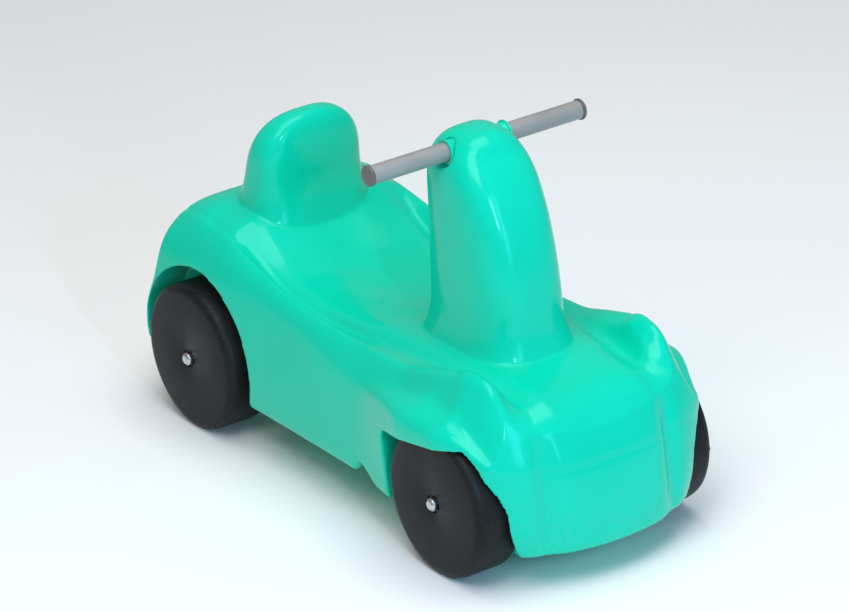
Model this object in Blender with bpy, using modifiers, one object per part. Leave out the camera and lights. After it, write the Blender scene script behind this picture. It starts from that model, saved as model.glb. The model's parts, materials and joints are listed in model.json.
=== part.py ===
"""Toddler ride-on car: a hollow moulded body on two steel axles, with a fixed handlebar.

Metres, +Z up. The front faces -Y and the car's right side is at -X. The origin is on the
ground, under the middle of the car.
"""

import math

import bmesh
import bpy

# Overall layout
WHEELBASE = 0.428
FRONT_OVERHANG = 0.1145  # front axle to the lower edge of the nose
REAR_OVERHANG = 0.101  # rear axle to the tail
WHEEL_TRACK = 0.282  # over the outer faces of the wheels
FIT_GAP = 0.0003  # between faces that touch

# Wheels
WHEEL_RADIUS = 0.077
WHEEL_WIDTH = 0.048
WHEEL_SHOULDER = 0.009  # radius of the rounded edge
WHEEL_WALL = 0.0045  # tread and face of the open-backed wheel
WHEEL_RIBS = 6
WHEEL_RIB_THICKNESS = 0.003
WHEEL_RIB_SETBACK = 0.008  # from the open edge of the tread
WHEEL_EDGE_CHAMFER = 0.002
WHEEL_INNER_CORNER = 0.006
HUB_RADIUS = 0.0130
CAP_SEAT_RADIUS = 0.0095  # shallow seat for the axle cap
CAP_SEAT_DEPTH = 0.0015

# Axles and their fittings
AXLE_RADIUS = 0.0040
WHEEL_BORE_CLEARANCE = 0.0004
CAP_RADIUS = 0.0068
CAP_HEIGHT = 0.0065
CAP_WALL = 0.0012
CAP_EDGE = 0.0025  # height of the cap's sloping edge
AXLE_END_GAP = 0.001  # from the axle's end to the inside of its cap
WASHER_RADIUS = 0.0095
WASHER_THICKNESS = 0.0015
BUSH_FLANGE_RADIUS = 0.0125
BUSH_FLANGE_THICKNESS = 0.002
BUSH_BARREL_RADIUS = 0.0070
BUSH_BARREL_LENGTH = 0.009

# Body heights above the ground
BUMPER_BOTTOM = 0.036
SKIRT_BOTTOM = 0.052
TAIL_BOTTOM = 0.062
BELLY_HEIGHT = 0.058
SEAT_HEIGHT = 0.173
SEAT_RIM_RISE = 0.006
PLATFORM_HEIGHT = 0.188  # round the foot of the column
DECK_HEIGHT = 0.226
RAIL_HEIGHT = 0.178  # crest of the side rails, beside the seat
REAR_SHOULDER_HEIGHT = 0.212
FENDER_HEIGHT = 0.210
ARCH_LIP_HEIGHT = 0.148  # where the flared front arches are widest
NOSE_CREASE_HEIGHT = 0.102  # where the hood meets the bumper
VALLEY_DROP = 0.006  # channel between the rails and the middle of the body
SKIRT_NOTCH_RISE = 0.011

# Body widths and walls
SHELL_HALF_WIDTH = 0.1305
ARCH_LIP_HALF_WIDTH = 0.1510
RAIL_HALF_WIDTH = 0.1090
FENDER_CREST_HALF_WIDTH = 0.106
SHOULDER_HALF_WIDTH = 0.1245
SEAT_HALF_WIDTH = 0.0725
BODY_WALL = 0.0035
HULL_WALL_FACTOR = 1.3  # the cavity's sections are inset by this much of the wall
TRIM_WALL_FACTOR = 1.6  # and its plan by this much

# Plan of the body, seen from above
NOSE_RAKE = 0.027  # from the lower edge of the nose back to its crease
NOSE_BOX_HALF_WIDTH = 0.072  # of the middle of the nose, between the grooves
NOSE_BOX_DEPTH = 0.032  # how far its plan curves back to its sides
NOSE_BOX_SQUARENESS = 3.0
CHEEK_DEPTH = 0.125  # length of the curve that trims each cheek
CHEEK_EDGE = 0.010  # trim of the cheeks at the lower edge, behind the nose
CHEEK_SETBACK = 0.0235  # and from the crease up
CHEEK_HALF_WIDTH = 0.118  # of the trim at the lower edge
CHEEK_UPPER_HALF_WIDTH = 0.138  # and below the arch's lip
TAIL_CORNER = 0.016  # radius at the tail's lower edge
TAIL_TOP_CORNER = 0.034  # and at the deck
TAIL_RAKE = 0.050  # from the tail's lower edge forward to the deck
GROOVE_X = 0.0735  # upright grooves beside the middle of the nose
GROOVE_HALF_WIDTH = 0.0055
GROOVE_HALF_DEPTH = 0.012

# Wheel wells
REAR_ARCH_RADIUS = 0.0935
FRONT_ARCH_RADIUS = 0.083
FRONT_ARCH_BACK = 0.003  # the front well's centre, behind and above the axle
FRONT_ARCH_UP = 0.0015
WELL_DEPTH = 0.0525  # from the wheel's outer face to the inner wall of its well
FENDER_SKIN = 0.0055  # skin outside the front wheel
ARCH_REAR_CLEARANCE = 0.010  # behind the front wheel
ARCH_REAR_HEIGHT = 0.127  # top of the opening at its rear corner
ARCH_CORNER = 0.010
ARCH_FRONT_ANGLE = 35  # degrees ahead of upright where the opening meets its round front
ARCH_END_ANGLE = 90  # and where it turns straight down
ARCH_MARGIN = 0.0018  # by which the opening's round front stands outside the well
ARCH_LOWER_MARGIN = 0.0035  # and at its foremost point
ARCH_STEPS = 14

# Backrest
BACKREST_HEIGHT = 0.322
BACKREST_HALF_WIDTH = 0.065
BACKREST_THICKNESS = 0.084
BACKREST_FRONT = 0.044  # its front face, ahead of the rear axle
BACKREST_LEAN = 0.040  # how far its back comes forward towards the top
BACKREST_TAPER = 0.10  # share of its width lost towards the top
BACKREST_FLARE = 0.022

# Column
COLUMN_HEIGHT = 0.401
COLUMN_HALF_WIDTH = 0.051
COLUMN_BACK = 0.276  # its back face, ahead of the rear axle
COLUMN_FOOT_DEPTH = 0.144
COLUMN_TOP_DEPTH = 0.090
COLUMN_FLARE = 0.012
COLUMN_DOME = 0.060  # height of its round top

# Handlebar
HANDLEBAR_DROP = 0.019  # below the top of the column
HANDLEBAR_AHEAD = 0.3195  # ahead of the rear axle
HANDLEBAR_LENGTH = 0.248
HANDLEBAR_RADIUS = 0.0095
HANDLEBAR_WALL = 0.0015
END_CAP_RADIUS = 0.0108
END_CAP_THICKNESS = 0.004
END_CAP_EDGE = 0.0015
END_CAP_PLUG_LENGTH = 0.014
GROMMET_SEAT_X = 0.034
GROMMET_SEAT_RADIUS = 0.0145
GROMMET_RADIUS = 0.0135
GROMMET_THICKNESS = 0.002
GROMMET_BARREL_RADIUS = 0.0115
GROMMET_BARREL_LENGTH = 0.010
TUNNEL_RADIUS = 0.017  # solid moulding round the handlebar

# Screw that holds the handlebar
SCREW_RADIUS = 0.0025
SCREW_LENGTH = 0.024
SCREW_TIP = 0.003
SCREW_HEAD_RADIUS = 0.0048
SCREW_HEAD_HEIGHT = 0.003
SCREW_SOCKET_RADIUS = 0.0016
SCREW_SOCKET_DEPTH = 0.0015
SCREW_SEAT_AHEAD = 0.290  # seat of its head, ahead of the rear axle
SCREW_SEAT_CLEARANCE = 0.0006
SCREW_POST_RADIUS = 0.009

# Vent plug under the body
VENT_RADIUS = 0.008
PLUG_FLANGE_RADIUS = 0.012
PLUG_FLANGE_THICKNESS = 0.002
PLUG_BARREL_LENGTH = 0.009
PLUG_WALL = 0.0015

# Places that follow from the sizes above
LENGTH = FRONT_OVERHANG + WHEELBASE + REAR_OVERHANG
NOSE_Y = -LENGTH / 2
TAIL_Y = LENGTH / 2
FRONT_AXLE_Y = NOSE_Y + FRONT_OVERHANG
REAR_AXLE_Y = TAIL_Y - REAR_OVERHANG
WHEEL_FACE_X = WHEEL_TRACK / 2
WHEEL_X = WHEEL_FACE_X - WHEEL_WIDTH / 2
WELL_WALL_X = WHEEL_FACE_X - WELL_DEPTH
BUSH_X = WELL_WALL_X + FIT_GAP
WASHER_X = BUSH_X + BUSH_FLANGE_THICKNESS + FIT_GAP
HUB_END_X = WASHER_X + WASHER_THICKNESS + FIT_GAP
CAP_X = WHEEL_FACE_X - CAP_SEAT_DEPTH + FIT_GAP
AXLE_END_X = CAP_X + CAP_HEIGHT - CAP_WALL - AXLE_END_GAP
HANDLEBAR_Y = REAR_AXLE_Y - HANDLEBAR_AHEAD
HANDLEBAR_HEIGHT = COLUMN_HEIGHT - HANDLEBAR_DROP
GROMMET_X = GROMMET_SEAT_X + FIT_GAP
OUTSIDE_X = ARCH_LIP_HALF_WIDTH + 0.03  # clear of the body's side

WHEEL_SEGMENTS = 26
WELL_SEGMENTS = 32
SMALL_SEGMENTS = 16  # round the axles and their fittings
SECTION_STEPS = 3  # between the points that guide a body section
CAVITY_STEPS = 1

PARTS = bpy.data.collections.new("toddler_ride_on_car")
CUTTERS = bpy.data.collections.new("cutters")


def clear_scene():
    for obj in list(bpy.data.objects):
        bpy.data.objects.remove(obj, do_unlink=True)
    for collection in (PARTS, CUTTERS):
        bpy.context.scene.collection.children.link(collection)


def material(name, colour, roughness, metallic=0.0):
    made = bpy.data.materials.new(name)
    made.use_nodes = True
    shader = made.node_tree.nodes["Principled BSDF"]
    shader.inputs["Base Color"].default_value = (*colour, 1.0)
    shader.inputs["Roughness"].default_value = roughness
    shader.inputs["Metallic"].default_value = metallic
    made.diffuse_color = (*colour, 1.0)
    return made


def add_object(name, mesh, collection):
    obj = bpy.data.objects.new(name, mesh)
    collection.objects.link(obj)
    return obj


def add_part(name, mesh, finish):
    obj = add_object(name, mesh, PARTS)
    mesh.materials.clear()
    mesh.materials.append(finish)
    return obj


def add_cutter(name, mesh):
    obj = add_object(name, mesh, CUTTERS)
    obj.hide_render = True
    obj.display_type = "WIRE"
    return obj


def smooth(mesh, angle=35):
    mesh.shade_smooth()
    mesh.set_sharp_from_angle(angle=math.radians(angle))


def baked(obj):
    """The object's mesh with its modifiers applied; the object itself is removed."""
    graph = bpy.context.evaluated_depsgraph_get()
    mesh = bpy.data.meshes.new_from_object(obj.evaluated_get(graph))
    bpy.data.objects.remove(obj, do_unlink=True)
    return mesh


def guide(points):
    """A smooth function through (place, value) points that doesn't overshoot them."""
    places = [place for place, _ in points]
    values = [value for _, value in points]
    steps = [b - a for a, b in zip(places, places[1:])]
    rises = [(b - a) / step for a, b, step in zip(values, values[1:], steps)]
    slopes = [rises[0]]
    for before, after in zip(rises, rises[1:]):
        same_way = before * after > 0
        slopes.append(2 * before * after / (before + after) if same_way else 0.0)
    slopes.append(rises[-1])

    def value_at(place):
        if place <= places[0]:
            return values[0]
        if place >= places[-1]:
            return values[-1]
        i = max(k for k, start in enumerate(places) if start <= place)
        t = (place - places[i]) / steps[i]
        start_part = values[i] * (1 + 2 * t) + slopes[i] * steps[i] * t
        end_part = values[i + 1] * (3 - 2 * t) - slopes[i + 1] * steps[i] * (1 - t)
        return start_part * (1 - t) ** 2 + end_part * t**2

    return value_at


def station_y(station):
    """Y of a station: 0 at the tail, 1 and 2 at the axles, 3 at the nose."""
    marks = (TAIL_Y, REAR_AXLE_Y, FRONT_AXLE_Y, NOSE_Y)
    start = min(max(int(station), 0), 2)
    return marks[start] + (station - start) * (marks[start + 1] - marks[start])


def curve_through(points, steps):
    """Points along a Catmull-Rom curve through a half section that ends on the middle plane."""
    start = (points[0][0] * 0.6, points[0][1])
    mirrored_end = (-points[-2][0], points[-2][1])
    run = [start, *points, mirrored_end]
    curve = []
    for a, b, c, d in zip(run, run[1:], run[2:], run[3:]):
        for k in range(steps):
            t = k / steps
            weights = (
                (-t + 2 * t**2 - t**3) / 2,
                (2 - 5 * t**2 + 3 * t**3) / 2,
                (t + 4 * t**2 - 3 * t**3) / 2,
                (-(t**2) + t**3) / 2,
            )
            x = sum(w * p[0] for w, p in zip(weights, (a, b, c, d)))
            z = sum(w * p[1] for w, p in zip(weights, (a, b, c, d)))
            curve.append((x, z))
    curve.append(points[-1])
    return curve


def inset_ring(ring, distance):
    """A closed 2-D outline moved inwards by a distance, whichever way round it runs."""
    area = sum(a[0] * b[1] - b[0] * a[1] for a, b in zip(ring, ring[1:] + ring[:1]))
    side = 1.0 if area > 0 else -1.0
    moved = []
    for before, here, after in zip(ring[-1:] + ring[:-1], ring, ring[1:] + ring[:1]):
        along = (after[0] - before[0], after[1] - before[1])
        size = math.hypot(*along)
        normal = (-along[1] / size * side, along[0] / size * side)
        moved.append((here[0] + normal[0] * distance, here[1] + normal[1] * distance))
    return moved


def loft(name, rings):
    """A closed mesh through rings of equally many points, capped at both ends."""
    mesh = bpy.data.meshes.new(name)
    form = bmesh.new()
    loops = [[form.verts.new(point) for point in ring] for ring in rings]
    for lower, upper in zip(loops, loops[1:]):
        for i, start in enumerate(lower):
            j = (i + 1) % len(lower)
            form.faces.new((start, lower[j], upper[j], upper[i]))
    form.faces.new(loops[0])
    form.faces.new(loops[-1])
    bmesh.ops.recalc_face_normals(form, faces=form.faces)
    form.to_mesh(mesh)
    form.free()
    smooth(mesh)
    return mesh


def cylinder(name, radius, x0, x1, y, z, segments=SMALL_SEGMENTS):
    """A cylinder along X between two planes."""
    form = bmesh.new()
    bmesh.ops.create_cone(
        form, cap_ends=True, segments=segments, radius1=radius, radius2=radius, depth=abs(x1 - x0)
    )
    mesh = bpy.data.meshes.new(name)
    form.to_mesh(mesh)
    form.free()
    cutter = add_cutter(name, mesh)
    cutter.location = ((x0 + x1) / 2, y, z)
    cutter.rotation_euler = (0, math.pi / 2, 0)
    return cutter


def turned(name, profile, segments=SMALL_SEGMENTS):
    """A ring turned about Z from a closed profile of (radius, height) points.

    The profile runs down its outer side. A point at radius 0 lies on the axis.
    """
    mesh = bpy.data.meshes.new(name)
    form = bmesh.new()
    corners = [form.verts.new((radius, 0, height)) for radius, height in profile]
    closed = all(radius > 0 for radius, _ in profile)
    for start, end in zip(corners, corners[1:] + (corners[:1] if closed else [])):
        form.edges.new((start, end))
    form.to_mesh(mesh)
    form.free()
    obj = add_object(name, mesh, CUTTERS)
    screw = obj.modifiers.new("turn", "SCREW")
    screw.steps = segments
    screw.render_steps = segments
    screw.use_merge_vertices = True
    screw.merge_threshold = 0.00001
    mesh = baked(obj)
    mesh.name = name
    smooth(mesh)
    return mesh


def cut(obj, cutter, operation="DIFFERENCE"):
    boolean = obj.modifiers.new(cutter.name, "BOOLEAN")
    boolean.operation = operation
    boolean.object = cutter
    boolean.solver = "MANIFOLD"  # the exact solver drops these long lofts


# Lines that guide the body's sections, as heights and half widths along the car

centre_height = guide(
    [
        (-0.2, DECK_HEIGHT - 0.046),
        (0.17, DECK_HEIGHT - 0.022),
        (0.45, DECK_HEIGHT - 0.006),
        (0.8, DECK_HEIGHT),
        (1.05, DECK_HEIGHT - 0.002),
        (1.13, DECK_HEIGHT - 0.020),
        (1.20, SEAT_HEIGHT + 0.016),
        (1.28, SEAT_HEIGHT + 0.004),
        (1.39, SEAT_HEIGHT),
        (1.51, SEAT_HEIGHT + 0.003),
        (1.65, PLATFORM_HEIGHT - 0.004),
        (1.80, PLATFORM_HEIGHT),
        (2.00, PLATFORM_HEIGHT + 0.001),
        (2.15, PLATFORM_HEIGHT - 0.008),
        (2.275, PLATFORM_HEIGHT - 0.021),
        (2.49, NOSE_CREASE_HEIGHT + 0.038),
        (2.67, NOSE_CREASE_HEIGHT + 0.013),
        (2.75, NOSE_CREASE_HEIGHT - 0.002),
        (3.2, NOSE_CREASE_HEIGHT - 0.085),
    ]
)
rim_rise = guide(
    [(1.05, 0), (1.28, SEAT_RIM_RISE), (1.51, SEAT_RIM_RISE), (1.7, 0.002), (2.0, 0)]
)
rim_half_width = guide(
    [(1.05, 0.066), (1.28, SEAT_HALF_WIDTH), (1.5, SEAT_HALF_WIDTH), (1.8, 0.061), (2.1, 0.050)]
)
valley_drop = guide(
    [
        (0.8, 0.004),
        (1.05, VALLEY_DROP),
        (1.28, 0.002),
        (1.39, 0.003),
        (1.6, VALLEY_DROP),
        (2.3, VALLEY_DROP + 0.002),
    ]
)
valley_half_width = guide(
    [(0.8, 0.090), (1.28, 0.093), (1.6, 0.089), (1.8, 0.082), (2.0, 0.077), (2.5, GROOVE_X + 0.002)]
)
crest_height = guide(
    [
        (-0.2, REAR_SHOULDER_HEIGHT - 0.044),
        (0.17, REAR_SHOULDER_HEIGHT - 0.020),
        (0.45, REAR_SHOULDER_HEIGHT - 0.005),
        (0.8, REAR_SHOULDER_HEIGHT),
        (1.05, REAR_SHOULDER_HEIGHT - 0.004),
        (1.39, RAIL_HEIGHT + 0.006),
        (1.6, RAIL_HEIGHT),
        (1.78, RAIL_HEIGHT + 0.003),
        (1.91, FENDER_HEIGHT - 0.015),
        (2.02, FENDER_HEIGHT - 0.004),
        (2.14, FENDER_HEIGHT),
        (2.30, FENDER_HEIGHT - 0.001),
        (2.38, FENDER_HEIGHT - 0.009),
        (2.44, FENDER_HEIGHT - 0.026),
        (2.51, FENDER_HEIGHT - 0.048),
        (2.60, FENDER_HEIGHT - 0.064),
        (2.70, FENDER_HEIGHT - 0.076),
        (3.2, FENDER_HEIGHT - 0.110),
    ]
)
crest_half_width = guide(
    [
        (0, 0.103),
        (1.05, RAIL_HALF_WIDTH),
        (1.8, RAIL_HALF_WIDTH),
        (2.14, FENDER_CREST_HALF_WIDTH),
        (2.5, FENDER_CREST_HALF_WIDTH - 0.004),
    ]
)
crest_fullness = guide([(1.7, 0.5), (2.05, 0.8), (2.4, 0.75)])  # roundness of its inner side
shoulder_height = guide(
    [
        (-0.2, REAR_SHOULDER_HEIGHT - 0.060),
        (0.45, REAR_SHOULDER_HEIGHT - 0.026),
        (1.05, REAR_SHOULDER_HEIGHT - 0.024),
        (1.39, RAIL_HEIGHT - 0.010),
        (1.6, RAIL_HEIGHT - 0.018),
        (1.8, RAIL_HEIGHT - 0.012),
        (1.95, FENDER_HEIGHT - 0.034),
        (2.14, FENDER_HEIGHT - 0.038),
        (2.26, FENDER_HEIGHT - 0.044),
        (2.37, FENDER_HEIGHT - 0.051),
        (2.43, FENDER_HEIGHT - 0.055),
        (2.51, FENDER_HEIGHT - 0.060),
        (2.68, FENDER_HEIGHT - 0.069),
        (2.83, FENDER_HEIGHT - 0.078),
        (3.2, FENDER_HEIGHT - 0.105),
    ]
)
shoulder_half_width = guide(
    [(0, 0.123), (1.5, 0.1205), (1.8, 0.1205), (2.14, SHOULDER_HALF_WIDTH), (2.6, 0.120)]
)
flank_height = guide(
    [
        (0, 0.150),
        (1.05, 0.148),
        (1.4, 0.128),
        (1.7, ARCH_LIP_HEIGHT - 0.012),
        (1.85, ARCH_LIP_HEIGHT),
        (2.20, ARCH_LIP_HEIGHT - 0.001),
        (2.33, ARCH_LIP_HEIGHT - 0.004),
        (2.43, ARCH_LIP_HEIGHT - 0.009),
        (2.60, ARCH_LIP_HEIGHT - 0.018),
        (2.76, ARCH_LIP_HEIGHT - 0.028),
        (3.2, ARCH_LIP_HEIGHT - 0.055),
    ]
)
flank_half_width = guide(
    [
        (0, SHELL_HALF_WIDTH),
        (1.05, SHELL_HALF_WIDTH),
        (1.4, SHELL_HALF_WIDTH - 0.004),
        (1.65, SHELL_HALF_WIDTH - 0.002),
        (1.81, ARCH_LIP_HALF_WIDTH - 0.009),
        (1.91, ARCH_LIP_HALF_WIDTH),
        (2.10, ARCH_LIP_HALF_WIDTH),
        (2.20, ARCH_LIP_HALF_WIDTH - 0.003),
        (2.32, ARCH_LIP_HALF_WIDTH - 0.0085),
        (2.43, ARCH_LIP_HALF_WIDTH - 0.014),
        (2.60, ARCH_LIP_HALF_WIDTH - 0.021),
        (2.80, ARCH_LIP_HALF_WIDTH - 0.024),
    ]
)
skirt_half_width = guide(
    [
        (0, SHELL_HALF_WIDTH - 0.002),
        (1.05, SHELL_HALF_WIDTH),
        (1.65, SHELL_HALF_WIDTH + 0.001),
        (1.85, SHELL_HALF_WIDTH + 0.005),
        (2.2, SHELL_HALF_WIDTH + 0.002),
        (2.6, SHELL_HALF_WIDTH - 0.004),
    ]
)
skirt_height = guide(
    [
        (0, TAIL_BOTTOM),
        (1.05, SKIRT_BOTTOM - 0.001),
        (1.3, SKIRT_BOTTOM),
        (1.645, SKIRT_BOTTOM),
        (1.67, SKIRT_BOTTOM + SKIRT_NOTCH_RISE),
        (1.70, SKIRT_BOTTOM + SKIRT_NOTCH_RISE / 2),
        (1.74, SKIRT_BOTTOM - 0.003),
        (1.85, SKIRT_BOTTOM - 0.006),
        (2.2, BUMPER_BOTTOM + 0.007),
        (2.6, BUMPER_BOTTOM),
    ]
)
belly_height = guide(
    [(0, TAIL_BOTTOM + 0.003), (0.8, BELLY_HEIGHT), (1.85, BELLY_HEIGHT), (2.5, BUMPER_BOTTOM + 0.001)]
)

STATIONS = (
    *(-0.2, 0.17, 0.45, 0.8, 1.05, 1.13, 1.20, 1.28, 1.39, 1.55, 1.645),
    *(1.67, 1.70, 1.74, 1.80, 1.87, 1.94, 2.02, 2.13, 2.24),
    *(2.32, 2.37, 2.42, 2.47, 2.54, 2.62, 2.72, 3.2),
)
CAVITY_STATIONS = (0.3, 0.6, 1.05, 1.16, 1.28, 1.45, 1.64, 1.72, 1.83, 1.95, 2.14, 2.3, 2.42, 2.54)
SKIRT_INNER_SHARE = 0.94
BELLY_SHARE = 0.86
SKIRT_EDGE_HEIGHT = 0.010


def hull_section(station, steps):
    """The body's outline across the car at a station, as a closed ring of (x, z)."""
    middle = centre_height(station)
    skirt_x = skirt_half_width(station)
    skirt_z = skirt_height(station)
    crest_x = crest_half_width(station)
    crest_z = crest_height(station)
    valley_x = valley_half_width(station)
    valley_z = middle - valley_drop(station)
    share = crest_fullness(station)
    half = curve_through(
        [
            (skirt_x * BELLY_SHARE, belly_height(station)),
            (skirt_x * SKIRT_INNER_SHARE, skirt_z),
            (skirt_x, skirt_z + SKIRT_EDGE_HEIGHT),
            (flank_half_width(station), flank_height(station)),
            (shoulder_half_width(station), shoulder_height(station)),
            (crest_x, crest_z),
            (crest_x - (crest_x - valley_x) * 0.5, valley_z + (crest_z - valley_z) * share),
            (valley_x, valley_z),
            (rim_half_width(station), middle + rim_rise(station)),
            (0, middle),
        ],
        steps,
    )
    return half + [(-x, z) for x, z in half[-2::-1]]


def hull(name, stations, steps, inset=0.0):
    rings = []
    for station in stations:
        outline = inset_ring(hull_section(station, steps), inset)
        rings.append([(x, station_y(station), z) for x, z in outline])
    return loft(name, rings)


nose_reach = guide(
    [
        (BUMPER_BOTTOM - 0.010, -0.006),
        (BUMPER_BOTTOM, -0.0025),
        (BUMPER_BOTTOM + 0.008, 0),
        (BUMPER_BOTTOM + 0.020, -0.006),
        (NOSE_CREASE_HEIGHT - 0.016, -NOSE_RAKE + 0.007),
        (NOSE_CREASE_HEIGHT + 0.004, -NOSE_RAKE),
    ]
)
cheek_front = guide(
    [
        (BUMPER_BOTTOM - 0.010, CHEEK_EDGE + 0.006),
        (BUMPER_BOTTOM, CHEEK_EDGE + 0.003),
        (BUMPER_BOTTOM + 0.008, CHEEK_EDGE),
        (BUMPER_BOTTOM + 0.024, CHEEK_EDGE + 0.007),
        (WHEEL_RADIUS, CHEEK_SETBACK - 0.001),
        (NOSE_CREASE_HEIGHT, CHEEK_SETBACK),
        (ARCH_LIP_HEIGHT, CHEEK_SETBACK + 0.002),
    ]
)
cheek_half_width = guide(
    [
        (BUMPER_BOTTOM, CHEEK_HALF_WIDTH),
        (BUMPER_BOTTOM + 0.008, CHEEK_HALF_WIDTH + 0.003),
        (BUMPER_BOTTOM + 0.024, CHEEK_HALF_WIDTH + 0.008),
        (WHEEL_RADIUS, CHEEK_UPPER_HALF_WIDTH - 0.008),
        (ARCH_LIP_HEIGHT - 0.030, CHEEK_UPPER_HALF_WIDTH - 0.002),
        (ARCH_LIP_HEIGHT - 0.018, CHEEK_UPPER_HALF_WIDTH + 0.008),
        (ARCH_LIP_HEIGHT - 0.010, CHEEK_UPPER_HALF_WIDTH + 0.014),
    ]
)
cheek_squareness = guide([(BUMPER_BOTTOM, 4.0), (BUMPER_BOTTOM + 0.024, 6.5), (WHEEL_RADIUS, 10.0)])
tail_reach = guide(
    [
        (TAIL_BOTTOM - 0.01, -0.007),
        (TAIL_BOTTOM + 0.006, -0.001),
        (TAIL_BOTTOM + 0.030, 0),
        (DECK_HEIGHT - 0.085, -0.016),
        (DECK_HEIGHT - 0.050, -TAIL_RAKE * 0.55),
        (DECK_HEIGHT, -TAIL_RAKE),
    ]
)
tail_corner = guide([(TAIL_BOTTOM, TAIL_CORNER), (DECK_HEIGHT, TAIL_TOP_CORNER)])
PLAN_HEIGHTS = (0.02, 0.036, 0.044, 0.052, 0.060, 0.0685, 0.077, 0.092, 0.108, 0.120, 0.130, 0.138, 0.175, 0.225, 0.240)
NOSE_BOX_STEPS = 7
CHEEK_STEPS = 8
TAIL_STEPS = 4
TAIL_HALF_WIDTH = SHELL_HALF_WIDTH + 0.004


def rounded_back(x, half_width, depth, squareness):
    """How far a superellipse's front has curved back at a distance from its middle."""
    share = min(abs(x) / half_width, 1.0)
    return depth * (1 - (1 - share**squareness) ** (1 / squareness))


def plan_ring(height, inset):
    """The body's outline seen from above at a height.

    The middle of the nose stands ahead of the cheeks, and the tail has rounded corners.
    """
    box_y = NOSE_Y - nose_reach(height) + inset
    cheek_y = NOSE_Y + cheek_front(height) + inset
    box_half_width = NOSE_BOX_HALF_WIDTH - inset
    trim_half_width = cheek_half_width(height) - inset
    squareness = cheek_squareness(height)

    def cheek_at(x):
        return cheek_y + rounded_back(x, trim_half_width, CHEEK_DEPTH, squareness)

    quarter = []
    for k in range(NOSE_BOX_STEPS + 1):
        x = box_half_width * math.sin(math.pi / 2 * k / NOSE_BOX_STEPS)
        box_at = box_y + rounded_back(x, box_half_width, NOSE_BOX_DEPTH, NOSE_BOX_SQUARENESS)
        quarter.append((x, min(box_at, cheek_at(x))))
    for k in range(1, CHEEK_STEPS + 1):
        angle = math.pi / 2 * k / CHEEK_STEPS
        x = box_half_width + (trim_half_width - box_half_width) * math.sin(angle)
        quarter.append((x, cheek_at(x)))
    quarter.append((TAIL_HALF_WIDTH + 0.02, cheek_y + CHEEK_DEPTH + 0.01))
    tail_y = TAIL_Y + tail_reach(height) - inset
    corner = tail_corner(height)
    for k in range(TAIL_STEPS + 1):
        angle = math.pi / 2 * k / TAIL_STEPS
        x = TAIL_HALF_WIDTH - inset - corner * (1 - math.cos(angle))
        quarter.append((x, tail_y - corner * (1 - math.sin(angle))))
    outline = quarter + [(-x, y) for x, y in reversed(quarter[1:])]
    return [(x, y, height) for x, y in outline]


def plan_trim(name, inset=0.0):
    return loft(name, [plan_ring(height, inset) for height in PLAN_HEIGHTS])


groove_setback = guide(  # back of the grooves, behind the lower edge of the nose
    [
        (0.020, 0.0245),
        (BUMPER_BOTTOM, 0.0250),
        (WHEEL_RADIUS, 0.0320),
        (NOSE_CREASE_HEIGHT + 0.008, 0.0385),
        (NOSE_CREASE_HEIGHT + 0.031, 0.0545),
        (NOSE_CREASE_HEIGHT + 0.055, 0.0735),
    ]
)
GROOVE_HEIGHTS = (0.020, 0.038, 0.060, 0.080, 0.100, 0.118, 0.136, 0.156)


def groove_form(name, side, grow=0.0):
    """An upright elliptical bar whose back follows the bottom of a groove."""
    rings = []
    for height in GROOVE_HEIGHTS:
        y = NOSE_Y + groove_setback(height) - GROOVE_HALF_DEPTH
        ring = []
        for k in range(12):
            angle = 2 * math.pi * k / 12
            x = side * GROOVE_X + (GROOVE_HALF_WIDTH + grow) * math.sin(angle)
            ring.append((x, y + (GROOVE_HALF_DEPTH + grow) * math.cos(angle), height))
        rings.append(ring)
    return add_cutter(name, loft(name, rings))


def rounded_ring(half_width, front, back, height, squareness, steps):
    """A superellipse in plan, between two distances ahead of the rear axle."""
    middle = (front + back) / 2
    half_depth = (front - back) / 2
    ring = []
    for k in range(steps):
        angle = 2 * math.pi * (k + 0.5) / steps
        x = half_width * math.copysign(abs(math.cos(angle)) ** (2 / squareness), math.cos(angle))
        ahead = half_depth * math.copysign(abs(math.sin(angle)) ** (2 / squareness), math.sin(angle))
        ring.append((x, REAR_AXLE_Y - middle - ahead, height))
    return ring


def dome(share):
    """How much of its width a round-topped form keeps at a share of its dome's height."""
    return max(1 - min(share, 0.995) ** 2.6, 0.0) ** (1 / 2.6)


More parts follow.
